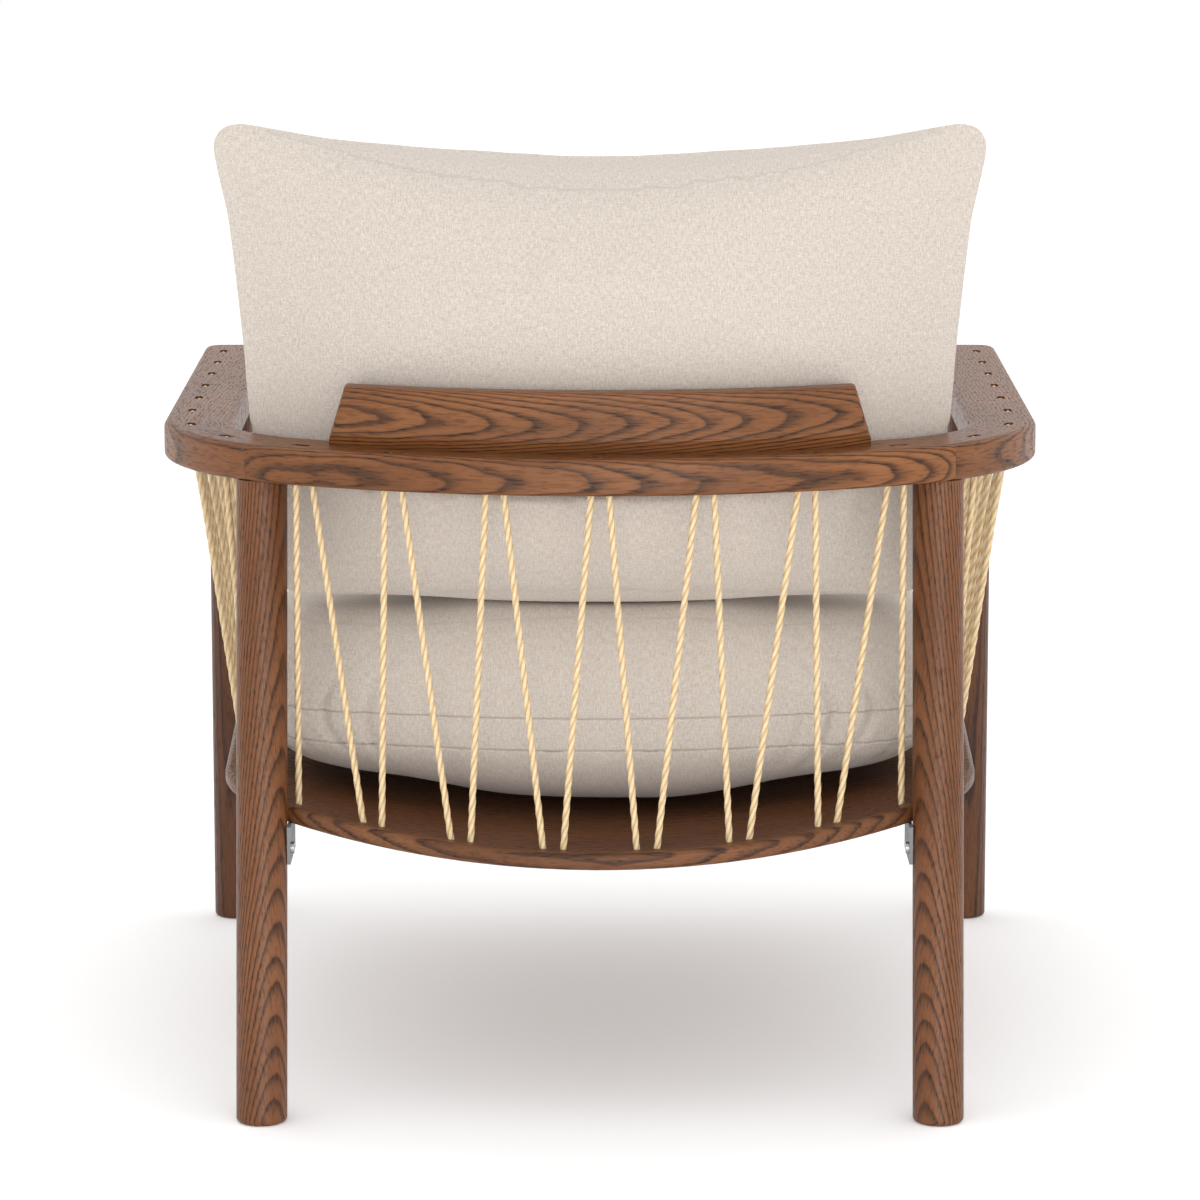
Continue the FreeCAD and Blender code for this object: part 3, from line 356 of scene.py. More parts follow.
def plated_metal(name, colour, roughness, metallic=1.0, grit_mm=1.2):
    """Small fixings: plated steel and turned brass are bright, with a slightly uneven polish, and
    powder-coated steel is dull and finely pebbled, which a metallic of 0 gives."""
    material, tree, shader = new_material(name)
    place, _ = object_xyz(tree)
    grit = stretched_noise(tree, place, [1 / (grit_mm * MM)] * 3, detail=3.0)
    worn = ramp(tree, grit, [(0.3, 0.7), (0.7, 1.0)])
    tone = mix_colour(tree, "MULTIPLY", 0.35, linear(colour), worn)
    tree.links.new(tone, shader.inputs["Base Color"])
    rough = math_node(tree, "ADD", math_node(tree, "MULTIPLY", grit, 0.2), roughness - 0.1)
    tree.links.new(rough, shader.inputs["Roughness"])
    bump = add_node(tree, "ShaderNodeBump", Height=grit, Strength=0.12, Distance=0.2 * MM)
    tree.links.new(bump.outputs[0], shader.inputs["Normal"])
    shader.inputs["Metallic"].default_value = metallic
    return material


def studio_white(name):
    """Matt white paper sweep, lit a little from behind so that it stays pale under the chair."""
    material, _, shader = new_material(name)
    shader.inputs["Base Color"].default_value = linear("#FCFCFC")
    shader.inputs["Roughness"].default_value = 0.9
    shader.inputs["Specular IOR Level"].default_value = 0.1
    shader.inputs["Emission Color"].default_value = linear("#FFFFFF")
    shader.inputs["Emission Strength"].default_value = 0.17
    return material


# ------------------------------------------------------------ camera and studio


def make_camera():
    """Behind the chair, 1.18 m above the floor, tilted 10 degrees down."""
    tilt, away, height = 10.0, 4.0921, 1.1793
    focal_share = 4930 / 1200  # focal length over the width of the picture
    data = bpy.data.cameras.new("camera")
    data.sensor_width = 36.0
    data.lens = data.sensor_width * focal_share
    camera = link(bpy.data.objects.new("camera", data))
    camera.location = (0.0, RAIL_REAR + away, height)
    camera.rotation_euler = (math.radians(90 - tilt), 0.0, math.radians(180))
    bpy.context.scene.camera = camera


def area_light(name, place, target, size, power):
    """A rectangular softbox, its size in metres and its power in watts."""
    data = bpy.data.lights.new(name, "AREA")
    data.shape = "RECTANGLE"
    data.size, data.size_y = size
    data.energy = power
    light = link(bpy.data.objects.new(name, data))
    light.location = place
    light.rotation_euler = (Vector(target) - Vector(place)).to_track_quat("-Z", "Y").to_euler()


def make_studio():
    half = 14.0
    corners = [(-half, -half, 0.0), (half, -half, 0.0), (half, half, 0.0), (-half, half, 0.0)]
    floor = mesh_object("floor", corners, [(0, 1, 2, 3)])
    floor.data.materials.append(studio_white("matt_white_sweep"))
    world = bpy.data.worlds.new("studio")
    world.use_nodes = True
    background = world.node_tree.nodes["Background"]
    background.inputs[0].default_value = (1.0, 1.0, 1.0, 1.0)
    background.inputs[1].default_value = 1.0
    bpy.context.scene.world = world
    bpy.context.scene.view_settings.view_transform = "Standard"
    seat_middle = (0.0, 0.0, 0.3)
    area_light("overhead_softbox", (0.2, 0.5, 3.2), seat_middle, size=(2.6, 2.6), power=8.0)
    area_light("camera_side_softbox", (-0.6, 4.4, 0.75), seat_middle, size=(3.2, 1.6), power=52.0)


# ------------------------------------------------------------------ plan outlines


class Plan:
    """Half of a D-shaped plan: a rear arc, a corner arc and a side line that opens forward."""

    def __init__(self, rear, radius, corner, half_width, flare):
        self.rear, self.radius, self.corner, self.flare = rear, radius, corner, flare
        slant = math.atan(flare)
        span = radius - corner
        side = half_width - corner / math.cos(slant) + flare * (rear + radius)
        under = (side * flare) ** 2 - (1 + flare**2) * (side**2 - span**2)
        ahead = (side * flare + math.sqrt(under)) / (1 + flare**2)
        self.corner_x = side - flare * ahead
        self.corner_depth = rear + radius - ahead
        self.turn = math.asin(self.corner_x / span)
        self.end_turn = math.pi / 2 - slant

    def on_back(self, turn, inset):
        reach = self.radius - inset
        return reach * math.sin(turn), self.rear + self.radius - reach * math.cos(turn)

    def on_corner(self, turn, inset):
        reach = self.corner - inset
        return self.corner_x + reach * math.sin(turn), self.corner_depth - reach * math.cos(turn)

    def on_side(self, depth, inset):
        x, start = self.on_corner(self.end_turn, inset)
        return x + (depth - start) * self.flare, depth


# --------------------------------------------------------------------- the lacing

# The cord's sizes and its places in the rail and the seat board, in millimetres.
CORD_RADIUS, BORE_RADIUS, KNOT_DIAMETER = 3.0, 3.35, 15.0
LAY_LENGTH, ROPE_STEP = 39.0, 2.8
TOP_BEND, UNDER_BEND, BEND_STEPS = 4.0, 3.9, 6
SHELL_THICKNESS, SHELL_OUTER, SHELL_LOWEST = 15.0, 1365.0, 224.5
SHELL_AXIS = SHELL_LOWEST + SHELL_OUTER
GROOVE_DEPTH = 4.5

# Slots in the rail: how deep the cord lies, how far apart its two runs are, how far the slots lie in
# from the rail's outer face, and their pitch behind, in the corner bends and along the arms.
SLOT_SINK, SLOT_SPREAD = 3.4, 11.0
BACK_SLOTS, BACK_SLOT_INSET, BACK_SLOT_PITCH = 3, 12.0, 90.0
CORNER_SLOTS, SIDE_SLOT_INSET, CORNER_SLOT_PITCH = 2, 21.5, 83.0
CORNER_SLOT_START = math.radians(52.4)
ARM_SLOTS, ARM_SLOT_DEPTH, ARM_PITCH = 6, 304.0, 85.7

# Pairs of bores in the seat board.
EYE_SPREAD, EYE_INSET = 17.5, 18.0
BACK_EYES, BACK_EYE_PITCH = 3, 80.0
CORNER_EYE_SHARES = (0.19, 0.72)
SIDE_EYES, SIDE_EYE_DEPTH, LAST_EYE_DEPTH = 6, 247.0, 727.0

rail_plan = Plan(rear=0.0, radius=575.0, corner=225.0, half_width=385.3, flare=0.0095)
shell_plan = Plan(rear=-6.0, radius=560.0, corner=140.0, half_width=326.0, flare=0.029)


def slot_places():
    """(x, depth, turn) of each slot in the rail on the +X side, middle slot first."""
    places = []
    step = BACK_SLOT_PITCH / (rail_plan.radius - BACK_SLOT_INSET)
    for count in range(BACK_SLOTS + 1):
        inset = BACK_SLOT_INSET if count < BACK_SLOTS else SIDE_SLOT_INSET
        places.append((*rail_plan.on_back(count * step, inset), count * step))
    step = CORNER_SLOT_PITCH / (rail_plan.corner - SIDE_SLOT_INSET)
    for count in range(CORNER_SLOTS):
        turn = CORNER_SLOT_START + count * step
        places.append((*rail_plan.on_corner(turn, SIDE_SLOT_INSET), turn))
    for count in range(ARM_SLOTS):
        depth = ARM_SLOT_DEPTH + count * ARM_PITCH
        places.append((*rail_plan.on_side(depth, SIDE_SLOT_INSET), rail_plan.end_turn))
    return places


def eye_places():
    """(x, depth, turn) of each pair of bores in the seat board on the +X side."""
    places = []
    step = BACK_EYE_PITCH / (shell_plan.radius - EYE_INSET)
    for count in range(BACK_EYES):
        turn = (count + 0.5) * step
        places.append((*shell_plan.on_back(turn, EYE_INSET), turn))
    for share in CORNER_EYE_SHARES:
        turn = shell_plan.turn + share * (shell_plan.end_turn - shell_plan.turn)
        places.append((*shell_plan.on_corner(turn, EYE_INSET), turn))
    for depth in [SIDE_EYE_DEPTH + count * ARM_PITCH for count in range(SIDE_EYES)] + [LAST_EYE_DEPTH]:
        places.append((*shell_plan.on_side(depth, EYE_INSET), shell_plan.end_turn))
    return places


def spread(place, distance, z):
    """A point beside a slot or a pair of bores, along the outline, as (x, depth, z)."""
    x, depth, turn = place
    return Vector((x + distance * math.cos(turn), depth + distance * math.sin(turn), z))


def shell_under(x):
    return SHELL_AXIS - math.sqrt(SHELL_OUTER**2 - x**2)


def under_gap(x):
    """How far under the board's lower face the cord's middle line runs: below zero, in its groove."""
    return (BORE_RADIUS - GROOVE_DEPTH) / math.cos(math.asin(x / SHELL_OUTER))


def lacing_route():
    """Corner points of the whole cord as (x, depth, z) in millimetres, and what each one is."""
    top_z = RAIL_TOP / MM - SLOT_SINK
    slots, eyes = slot_places(), eye_places()
    half = [(spread(slots[0], SLOT_SPREAD / 2, top_z), "top")]
    for slot, eye in zip(slots[1:], eyes):
        for sign in (-1, 1):
            place = spread(eye, sign * EYE_SPREAD / 2, shell_under(eye[0]) - under_gap(eye[0]))
            half.append((place, "under"))
        for sign in (-1, 1):
            half.append((spread(slot, sign * SLOT_SPREAD / 2, top_z), "top"))
    last = eyes[-1]
    half.append((spread(last, 0.0, shell_under(last[0]) - KNOT_DIAMETER / 2), "end"))
    leaned = []
    for index, (point, kind) in enumerate(half):
        if kind == "under":
            near = index - 1 if half[index - 1][1] == "top" else index + 1
            deck = point + Vector((0, 0, under_gap(point.x) + SHELL_THICKNESS))
            along = deck - half[near][0]
            # The bore leans like the cord's run above it, so its foot is found step by step.
            for _ in range(4):
                point = deck + along * ((shell_under(point.x) - under_gap(point.x) - deck.z) / along.z)
        leaned.append((point, kind))
    mirror = [(Vector((-p.x, p.y, p.z)), kind) for p, kind in leaned]
    return list(reversed(mirror)) + leaned


def rounded_line(route):
    """The cord's centre line in metres: straight runs joined by tangent arcs."""
    bends = {"top": TOP_BEND, "under": UNDER_BEND}
    line = [route[0][0]]
    for (before, _), (point, kind), (after, _) in zip(route, route[1:], route[2:]):
        back, on = (before - point).normalized(), (after - point).normalized()
        angle = back.angle(on)
        setback = bends[kind] / math.tan(angle / 2)
        reach = bends[kind] / math.sin(angle / 2)
        centre = point + (back + on).normalized() * reach
        start, stop = point + back * setback, point + on * setback
        arm_a, arm_b = start - centre, stop - centre
        sweep = arm_a.angle(arm_b)
        for step in range(BEND_STEPS + 1):
            share = step / BEND_STEPS
            arm = arm_a * math.sin((1 - share) * sweep) + arm_b * math.sin(share * sweep)
            line.append(centre + arm / math.sin(sweep))
    line.append(route[-1][0])
    return [at(p.x * MM, p.y * MM, p.z * MM) for p in line]


def poly_curve(name, points, cyclic=False):
    data = bpy.data.curves.new(name, "CURVE")
    data.dimensions = "3D"
    spline = data.splines.new("POLY")
    spline.points.add(len(points) - 1)
    for place, point in zip(spline.points, points):
        place.co = (*point, 1.0)
    spline.use_cyclic_u = cyclic
    return link(bpy.data.objects.new(name, data))


def rope_tree(material):
    """Geometry nodes that lay three strands along a curve.

    Inputs: radius, lay length and step, in metres. The section is a circle with three lobes; its tilt
    follows the length along the curve, so that the lobes wind round as strands do."""
    strands, section_points = 3, 15
    lobe_rise, middle_reach = 0.08, 0.94  # shares of the radius
    creases_across, creases_along = 2.5, 700.0  # cells over a strand, and per metre of cord
    tree = bpy.data.node_groups.new("laid_rope", "GeometryNodeTree")
    interface = tree.interface
    interface.new_socket("Geometry", in_out="INPUT", socket_type="NodeSocketGeometry")
    for name, value in (("Radius", CORD_RADIUS), ("Lay length", LAY_LENGTH), ("Step", ROPE_STEP)):
        socket = interface.new_socket(name, in_out="INPUT", socket_type="NodeSocketFloat")
        socket.default_value = value * MM
    interface.new_socket("Geometry", in_out="OUTPUT", socket_type="NodeSocketGeometry")
    given = add_node(tree, "NodeGroupInput").outputs
    even = add_node(
        tree, "GeometryNodeResampleCurve", {"mode": "LENGTH"},
        Curve=given["Geometry"], Length=given["Step"],
    )
    spline = add_node(tree, "GeometryNodeSplineParameter")
    turns = math_node(tree, "DIVIDE", spline.outputs["Length"], given["Lay length"])
    tilt = math_node(tree, "MULTIPLY", turns, 2 * math.pi)
    twisted = add_node(tree, "GeometryNodeSetCurveTilt", Curve=even.outputs[0], Tilt=tilt)

    section = add_node(tree, "GeometryNodeCurvePrimitiveCircle", Resolution=section_points)
    section.inputs["Radius"].default_value = 1.0
    index = add_node(tree, "GeometryNodeInputIndex")
    lobe = math_node(tree, "MULTIPLY", index.outputs[0], 2 * math.pi * strands / section_points)
    swell = math_node(tree, "COSINE", lobe)
    share = math_node(tree, "ADD", math_node(tree, "MULTIPLY", swell, lobe_rise), middle_reach)
    reach = math_node(tree, "MULTIPLY", share, given["Radius"])
    position = add_node(tree, "GeometryNodeInputPosition")
    scaled = add_node(
        tree, "ShaderNodeVectorMath", {"operation": "SCALE"}, in_0=position.outputs[0], Scale=reach
    )
    shaped = add_node(
        tree, "GeometryNodeSetPosition", Geometry=section.outputs[0], Position=scaled.outputs[0]
    )
    # The groove and lay attributes carry the section's shape and the length to the material.
    groove_share = math_node(tree, "ADD", math_node(tree, "MULTIPLY", swell, 0.5), 0.5)
    groove = add_node(
        tree, "GeometryNodeStoreNamedAttribute", {"data_type": "FLOAT", "domain": "POINT"},
        Geometry=shaped.outputs[0], Name="groove", Value=groove_share,
    )
    length = add_node(
        tree, "GeometryNodeStoreNamedAttribute", {"data_type": "FLOAT", "domain": "POINT"},
        Geometry=twisted.outputs[0], Name="length", Value=spline.outputs["Length"],
    )
    mesh = add_node(
        tree, "GeometryNodeCurveToMesh",
        Curve=length.outputs[0], Profile_Curve=groove.outputs[0], Fill_Caps=True,
    )
    kept_length, kept_groove = (
        add_node(tree, "GeometryNodeInputNamedAttribute", {"data_type": "FLOAT"}, Name=name).outputs[0]
        for name in ("length", "groove")
    )
    lay = add_node(
        tree, "ShaderNodeCombineXYZ",
        X=math_node(tree, "MULTIPLY", kept_groove, creases_across),
        Y=0.0,
        Z=math_node(tree, "MULTIPLY", kept_length, creases_along),
    )
    stored = add_node(
        tree, "GeometryNodeStoreNamedAttribute", {"data_type": "FLOAT_VECTOR", "domain": "POINT"},
        Geometry=mesh.outputs[0], Name="lay", Value=lay.outputs[0],
    )
    smooth = add_node(tree, "GeometryNodeSetShadeSmooth", Geometry=stored.outputs[0])
    real = add_node(tree, "GeometryNodeRealizeInstances", Geometry=smooth.outputs[0])
    painted = add_node(tree, "GeometryNodeSetMaterial", Geometry=real.outputs[0], Material=material)
    output = add_node(tree, "NodeGroupOutput")
    tree.links.new(painted.outputs[0], output.inputs[0])
    return tree


def lay_rope(name, points, tree, cyclic=False, **sizes):
    curve = poly_curve(name, points, cyclic)
    modifier = curve.modifiers.new("rope", "NODES")
    modifier.node_group = tree
    for item in tree.interface.items_tree:
        if item.item_type == "SOCKET" and item.in_out == "INPUT" and item.name in sizes:
            modifier[item.identifier] = sizes[item.name]
    return baked(curve, name)


def overhand_knot(centre, size, count=72):
    """A closed three-leaf loop of cord, pulled tight, that stops the cord under the board."""
    points = []
    for step in range(count):
        turn = 2 * math.pi * step / count
        x = math.sin(turn) + 2 * math.sin(2 * turn)
        y = math.cos(turn) - 2 * math.cos(2 * turn)
        points.append(centre + Vector((x, y, -1.15 * math.sin(3 * turn))) * size)
    return points


def make_lacing(material):
    """The lacing cord, and the knots at its ends, thinner than the cord because they are pulled tight."""
    tree = rope_tree(material)
    line = rounded_line(lacing_route())
    rope = lay_rope("lacing_rope", line, tree)
    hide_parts("lacing_cord")
    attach(rope, "root")
    knot_drop, knot_size = Vector((0, 0, 1.0 * MM)), 1.75 * MM
    for name, end in (("right", line[0]), ("left", line[-1])):
        loop = overhand_knot(end - knot_drop, knot_size)
        knot = lay_rope(f"stop_knot_{name}", loop, tree, True, Radius=2.6 * MM, Step=1.2 * MM)
        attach(knot, "root")
    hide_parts("cord_knots")


# ------------------------------------------------------------------- the cushions

# All in metres. The seat cushion's seams and its fullest line are heights above the floor; it rolls
# in over ROLL_UNDER below that line and ROLL_OVER above it.
seat_plan = Plan(rear=0.078, radius=0.640, corner=0.120, half_width=0.312, flare=0.0)
SEAT_FRONT = 0.784
SEAT_SEAMS, SEAT_FULLEST = (0.308, 0.337), 0.326
SEAM_WIDTH, SEAM_SINK = 1.6 * MM, 1.3 * MM
ROLL_UNDER, ROLL_OVER, UNDER_LIFT, SEAT_CROWN = 0.060, 0.055, 0.012, 0.020
SHELL_INNER = (SHELL_OUTER - SHELL_THICKNESS) * MM
CUSHION_CLEAR = 0.4 * MM  # each cushion's clearance from the line where they meet

# The back cushion's middle seam leans forward as it rises, and its edges stray from the plain block:
# side seams bow in between the ears, and the top seam dips in the middle.
PILLOW_SEAM, PILLOW_LEAN = 0.163, 0.05
PILLOW_WIDER = ((-1.0, -0.3, 0.0, 0.3, 0.6, 1.0), (0.003, 0.015, 0.020, 0.0265, 0.033, 0.051))
PILLOW_RISE, PILLOW_DIP, PILLOW_DROP = 0.020, 0.028, 0.022
# Creases at the rear corners: x, z, half length, half width, depth and how far the ends curl.
SEAT_FOLDS = [
    (0.243, 0.338, 0.032, 0.0055, 0.0065, 0.016),
    (0.205, 0.334, 0.036, 0.0060, 0.0055, 0.012),
    (0.272, 0.330, 0.026, 0.0050, 0.0050, 0.014),
    (0.150, 0.345, 0.040, 0.0110, 0.0030, 0.010),
    (-0.204, 0.336, 0.038, 0.0060, 0.0065, 0.016),
    (-0.239, 0.340, 0.030, 0.0055, 0.0065, 0.014),
    (-0.178, 0.330, 0.026, 0.0070, 0.0040, 0.010),
    (-0.270, 0.328, 0.030, 0.0050, 0.0050, 0.016),
]


def merged_copy(node, name):
    """A free copy of a CAD node's mesh, its loose triangles joined."""
    copy = link(bpy.data.objects.new(name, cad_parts[node].data.copy()))
    grown = bmesh.new()
    grown.from_mesh(copy.data)
    bmesh.ops.remove_doubles(grown, verts=grown.verts, dist=1e-5)
    grown.to_mesh(copy.data)
    grown.free()
    copy.data.materials.clear()
    return copy


def remeshed(obj, voxel):
    modifier = obj.modifiers.new("remesh", "REMESH")
    modifier.mode = "VOXEL"
    modifier.voxel_size = voxel
    return baked(obj)


def coordinates(obj):
    flat = np.empty(len(obj.data.vertices) * 3)
    obj.data.vertices.foreach_get("co", flat)
    return flat.reshape(-1, 3)


def vertex_normals(obj):
    flat = np.empty(len(obj.data.vertices) * 3)
    obj.data.vertices.foreach_get("normal", flat)
    return flat.reshape(-1, 3)


def set_coordinates(obj, values):
    obj.data.vertices.foreach_set("co", values.reshape(-1))
    obj.data.update()


def relax(obj, rounds, below=math.inf):
    """Evens out the mesh, or only the part of it below a height."""
    grown = bmesh.new()
    grown.from_mesh(obj.data)
    chosen = [vertex for vertex in grown.verts if vertex.co.z < below]
    for _ in range(rounds):
        bmesh.ops.smooth_vert(
            grown, verts=chosen, factor=0.5, use_axis_x=True, use_axis_y=True, use_axis_z=True
        )
    grown.to_mesh(obj.data)
    grown.free()


def stuff(obj, cap, gathers=None, frames=20):
    """Blows the cover up like a stuffed cushion, with no point moving further than the cap.

    gathers is a share from 0 to 1 for each vertex: how much the cloth there is drawn in by a seam."""
    start = coordinates(obj).copy()
    cloth = obj.modifiers.new("stuffing", "CLOTH")
    settings = cloth.settings
    settings.quality = 5
    settings.mass = 0.35
    settings.tension_stiffness = settings.compression_stiffness = 16
    settings.bending_stiffness = 0.6
    settings.use_pressure = True
    settings.uniform_pressure_force = 4.2
    settings.effector_weights.gravity = 0.0
    cloth.point_cache.frame_start, cloth.point_cache.frame_end = 1, frames
    if gathers is not None:
        group = obj.vertex_groups.new(name="gathers")
        for index, share in enumerate(gathers):
            if share > 0.01:
                group.add([index], float(share), "REPLACE")
        settings.vertex_group_shrink = "gathers"
        settings.shrink_min, settings.shrink_max = 0.0, 0.14
    scene = bpy.context.scene
    for step in range(1, frames + 1):
        scene.frame_set(step)
    depsgraph = bpy.context.evaluated_depsgraph_get()
    result = np.empty(len(start) * 3)
    obj.evaluated_get(depsgraph).data.vertices.foreach_get("co", result)
    result = result.reshape(-1, 3)
    obj.modifiers.clear()
    obj.vertex_groups.clear()
    scene.frame_set(1)
    move = result - start
    length = np.linalg.norm(move, axis=1, keepdims=True)
    move *= cap * np.tanh(length / cap) / np.maximum(length, 1e-9)
    set_coordinates(obj, start + move)


def subdivide(obj):
    modifier = obj.modifiers.new("smooth", "SUBSURF")
    modifier.levels = modifier.render_levels = 1
    obj.data.polygons.foreach_set("use_smooth", [True] * len(obj.data.polygons))
    return baked(obj)


def cloth_attribute(obj, wall_share):
    """Stores where each point lies on its panel of cloth, in metres, for the weave.

    Upright walls are measured round the cushion and up; flat faces, whose normals rise by more than
    the wall share, across and along."""
    normals, co = vertex_normals(obj), coordinates(obj)
    flat = np.abs(normals[:, 2]) > wall_share
    sideways = np.abs(normals[:, 0]) > np.abs(normals[:, 1])
    first = np.where(flat, co[:, 0], np.where(sideways, co[:, 1], co[:, 0]))
    second = np.where(flat, co[:, 1], co[:, 2])
    values = np.stack([first, second, np.zeros(len(co))], axis=1)
    attribute = obj.data.attributes.new("cloth", "FLOAT_VECTOR", "POINT")
    attribute.data.foreach_set("vector", values.reshape(-1))


def smooth_step(values, low, high):
    share = np.clip((values - low) / (high - low), 0.0, 1.0)
    return share * share * (3 - 2 * share)


def make_back_cushion(material):
    """A knife-edged pillow: full in the middle, its edges thin and drawn in between four ears."""
    pillow = remeshed(merged_copy("back_cushion_core", "back_cushion"), voxel=6.5 * MM)
    co = coordinates(pillow)
    low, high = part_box("back_cushion_cover")
    half_width = high.x
    middle, half_height = (low.z + high.z) / 2, (high.z - low.z) / 2
    s = np.clip(co[:, 0] / half_width, -1, 1)
    t = np.clip((co[:, 2] - middle) / half_height, -1, 1)
    depth = RAIL_REAR - co[:, 1]
    seam = PILLOW_SEAM - (co[:, 2] - RAIL_TOP) * PILLOW_LEAN
    # Thickness falls away towards the side seams and, less, towards the top and bottom ones.
    across = (1 - np.abs(s) ** 3.4) ** 0.62
    upward = np.where(t > 0, (1 - np.abs(t) ** 3.6) ** 0.6, (1 - np.abs(t) ** 6.0) ** 0.5)
    fullness = np.clip(across * upward, 0.03, 1)
    depth = seam + (depth - seam) * fullness
    x = s * (half_width + np.interp(t, *PILLOW_WIDER))
    dip = PILLOW_DIP * (1 - np.abs(s) ** 2.3)
    z = co[:, 2] + np.where(t > 0, PILLOW_RISE * t - dip * np.abs(t) ** 1.5, -PILLOW_DROP * t**2)
    set_coordinates(pillow, np.stack([x, RAIL_REAR - depth, z], axis=1))
    relax(pillow, 3)
    edge = np.maximum(np.abs(s) ** 14, np.clip(t, 0, 1) ** 14)
    stuff(pillow, cap=13 * MM, gathers=edge)
    settle_on_seat(pillow)
    keep_off_rail(pillow)
    pillow = subdivide(pillow)
    cloth_attribute(pillow, wall_share=0.8)
    finish_cushion(pillow, material, "back_cushion_cover", "back_cushion_core")


def settle_on_seat(pillow):
    """The pillow's foot is flattened where it stands on the seat cushion."""
    co = coordinates(pillow)
    foot = seat_line(co[:, 0]) + CUSHION_CLEAR
    soft = 8 * MM
    below = co[:, 2] < foot + soft
    share = np.clip((foot[below] + soft - co[below, 2]) / (2 * soft), 0, 1)
    co[below, 2] = np.maximum(co[below, 2], foot[below] + soft * (1 - share) ** 2 * 0.5)
    set_coordinates(pillow, co)


def keep_off_rail(pillow):
    """Presses the pillow flat where the rail and the crest board hold it back."""
    co = coordinates(pillow)
    depth = RAIL_REAR - co[:, 1]
    centre = rail_plan.radius * MM
    reach = np.hypot(co[:, 0], centre - depth)
    # Above the crest board the pillow leans out over it a little.
    above = np.maximum(co[:, 2] - CREST_TOP - 3 * MM, 0) * 0.12
    # Lowest and highest point of each of the two, and the radius that it holds the pillow to.
    rail = (RAIL_TOP - 40 * MM, RAIL_TOP + 4 * MM, 0.5125)
    crest = (RAIL_TOP - 10 * MM, CREST_TOP + 150 * MM, 0.5205)
    for low, high, held in (rail, crest):
        limit = held + above
        near = (co[:, 2] > low) & (co[:, 2] < high) & (reach > limit) & (depth < centre)
        scale = limit[near] / reach[near]
        co[near, 0] *= scale
        depth[near] = centre - (centre - depth[near]) * scale
        reach = np.hypot(co[:, 0], centre - depth)
    # The rail's corners hold the ends of the pillow in.
    limit = 0.1290
    away = np.hypot(np.abs(co[:, 0]) - CORNER_X, CORNER_DEPTH - depth)
    near = (co[:, 2] > RAIL_TOP - 40 * MM) & (co[:, 2] < RAIL_TOP + 6 * MM) & (away > limit)
    near &= (np.abs(co[:, 0]) > CORNER_X) & (depth < CORNER_DEPTH)
    scale = limit / away[near]
    side = np.sign(co[near, 0])
    co[near, 0] = side * (CORNER_X + (np.abs(co[near, 0]) - CORNER_X) * scale)
    depth[near] = CORNER_DEPTH - (CORNER_DEPTH - depth[near]) * scale
    co[:, 1] = RAIL_REAR - depth
    set_coordinates(pillow, co)


def seat_inset(co):
    """How far inside the seat cushion's plan each point lies, in metres."""
    plan, ax, depth = seat_plan, np.abs(co[:, 0]), RAIL_REAR - co[:, 1]
    back = plan.radius - np.hypot(ax, plan.rear + plan.radius - depth)
    side = plan.corner_x + plan.corner - ax
    corner = plan.corner - np.hypot(ax - plan.corner_x, plan.corner_depth - depth)
    turn = np.arctan2(ax - plan.corner_x, plan.corner_depth - depth)
    inside = np.minimum(np.minimum(back, side), SEAT_FRONT - depth)
    return np.where((turn > plan.turn) & (turn < plan.end_turn), np.minimum(corner, inside), inside)


def seat_line(x):
    """Height at which the two cushions meet: the seat swells up either side of the back's middle."""
    ax = np.abs(x)
    swell = 5 * MM * np.exp(-(((ax - 0.165) / 0.07) ** 2))
    fall = 9 * MM * smooth_step(ax, 0.22, 0.31)
    return SEAT_TOP - 2 * MM + swell - fall


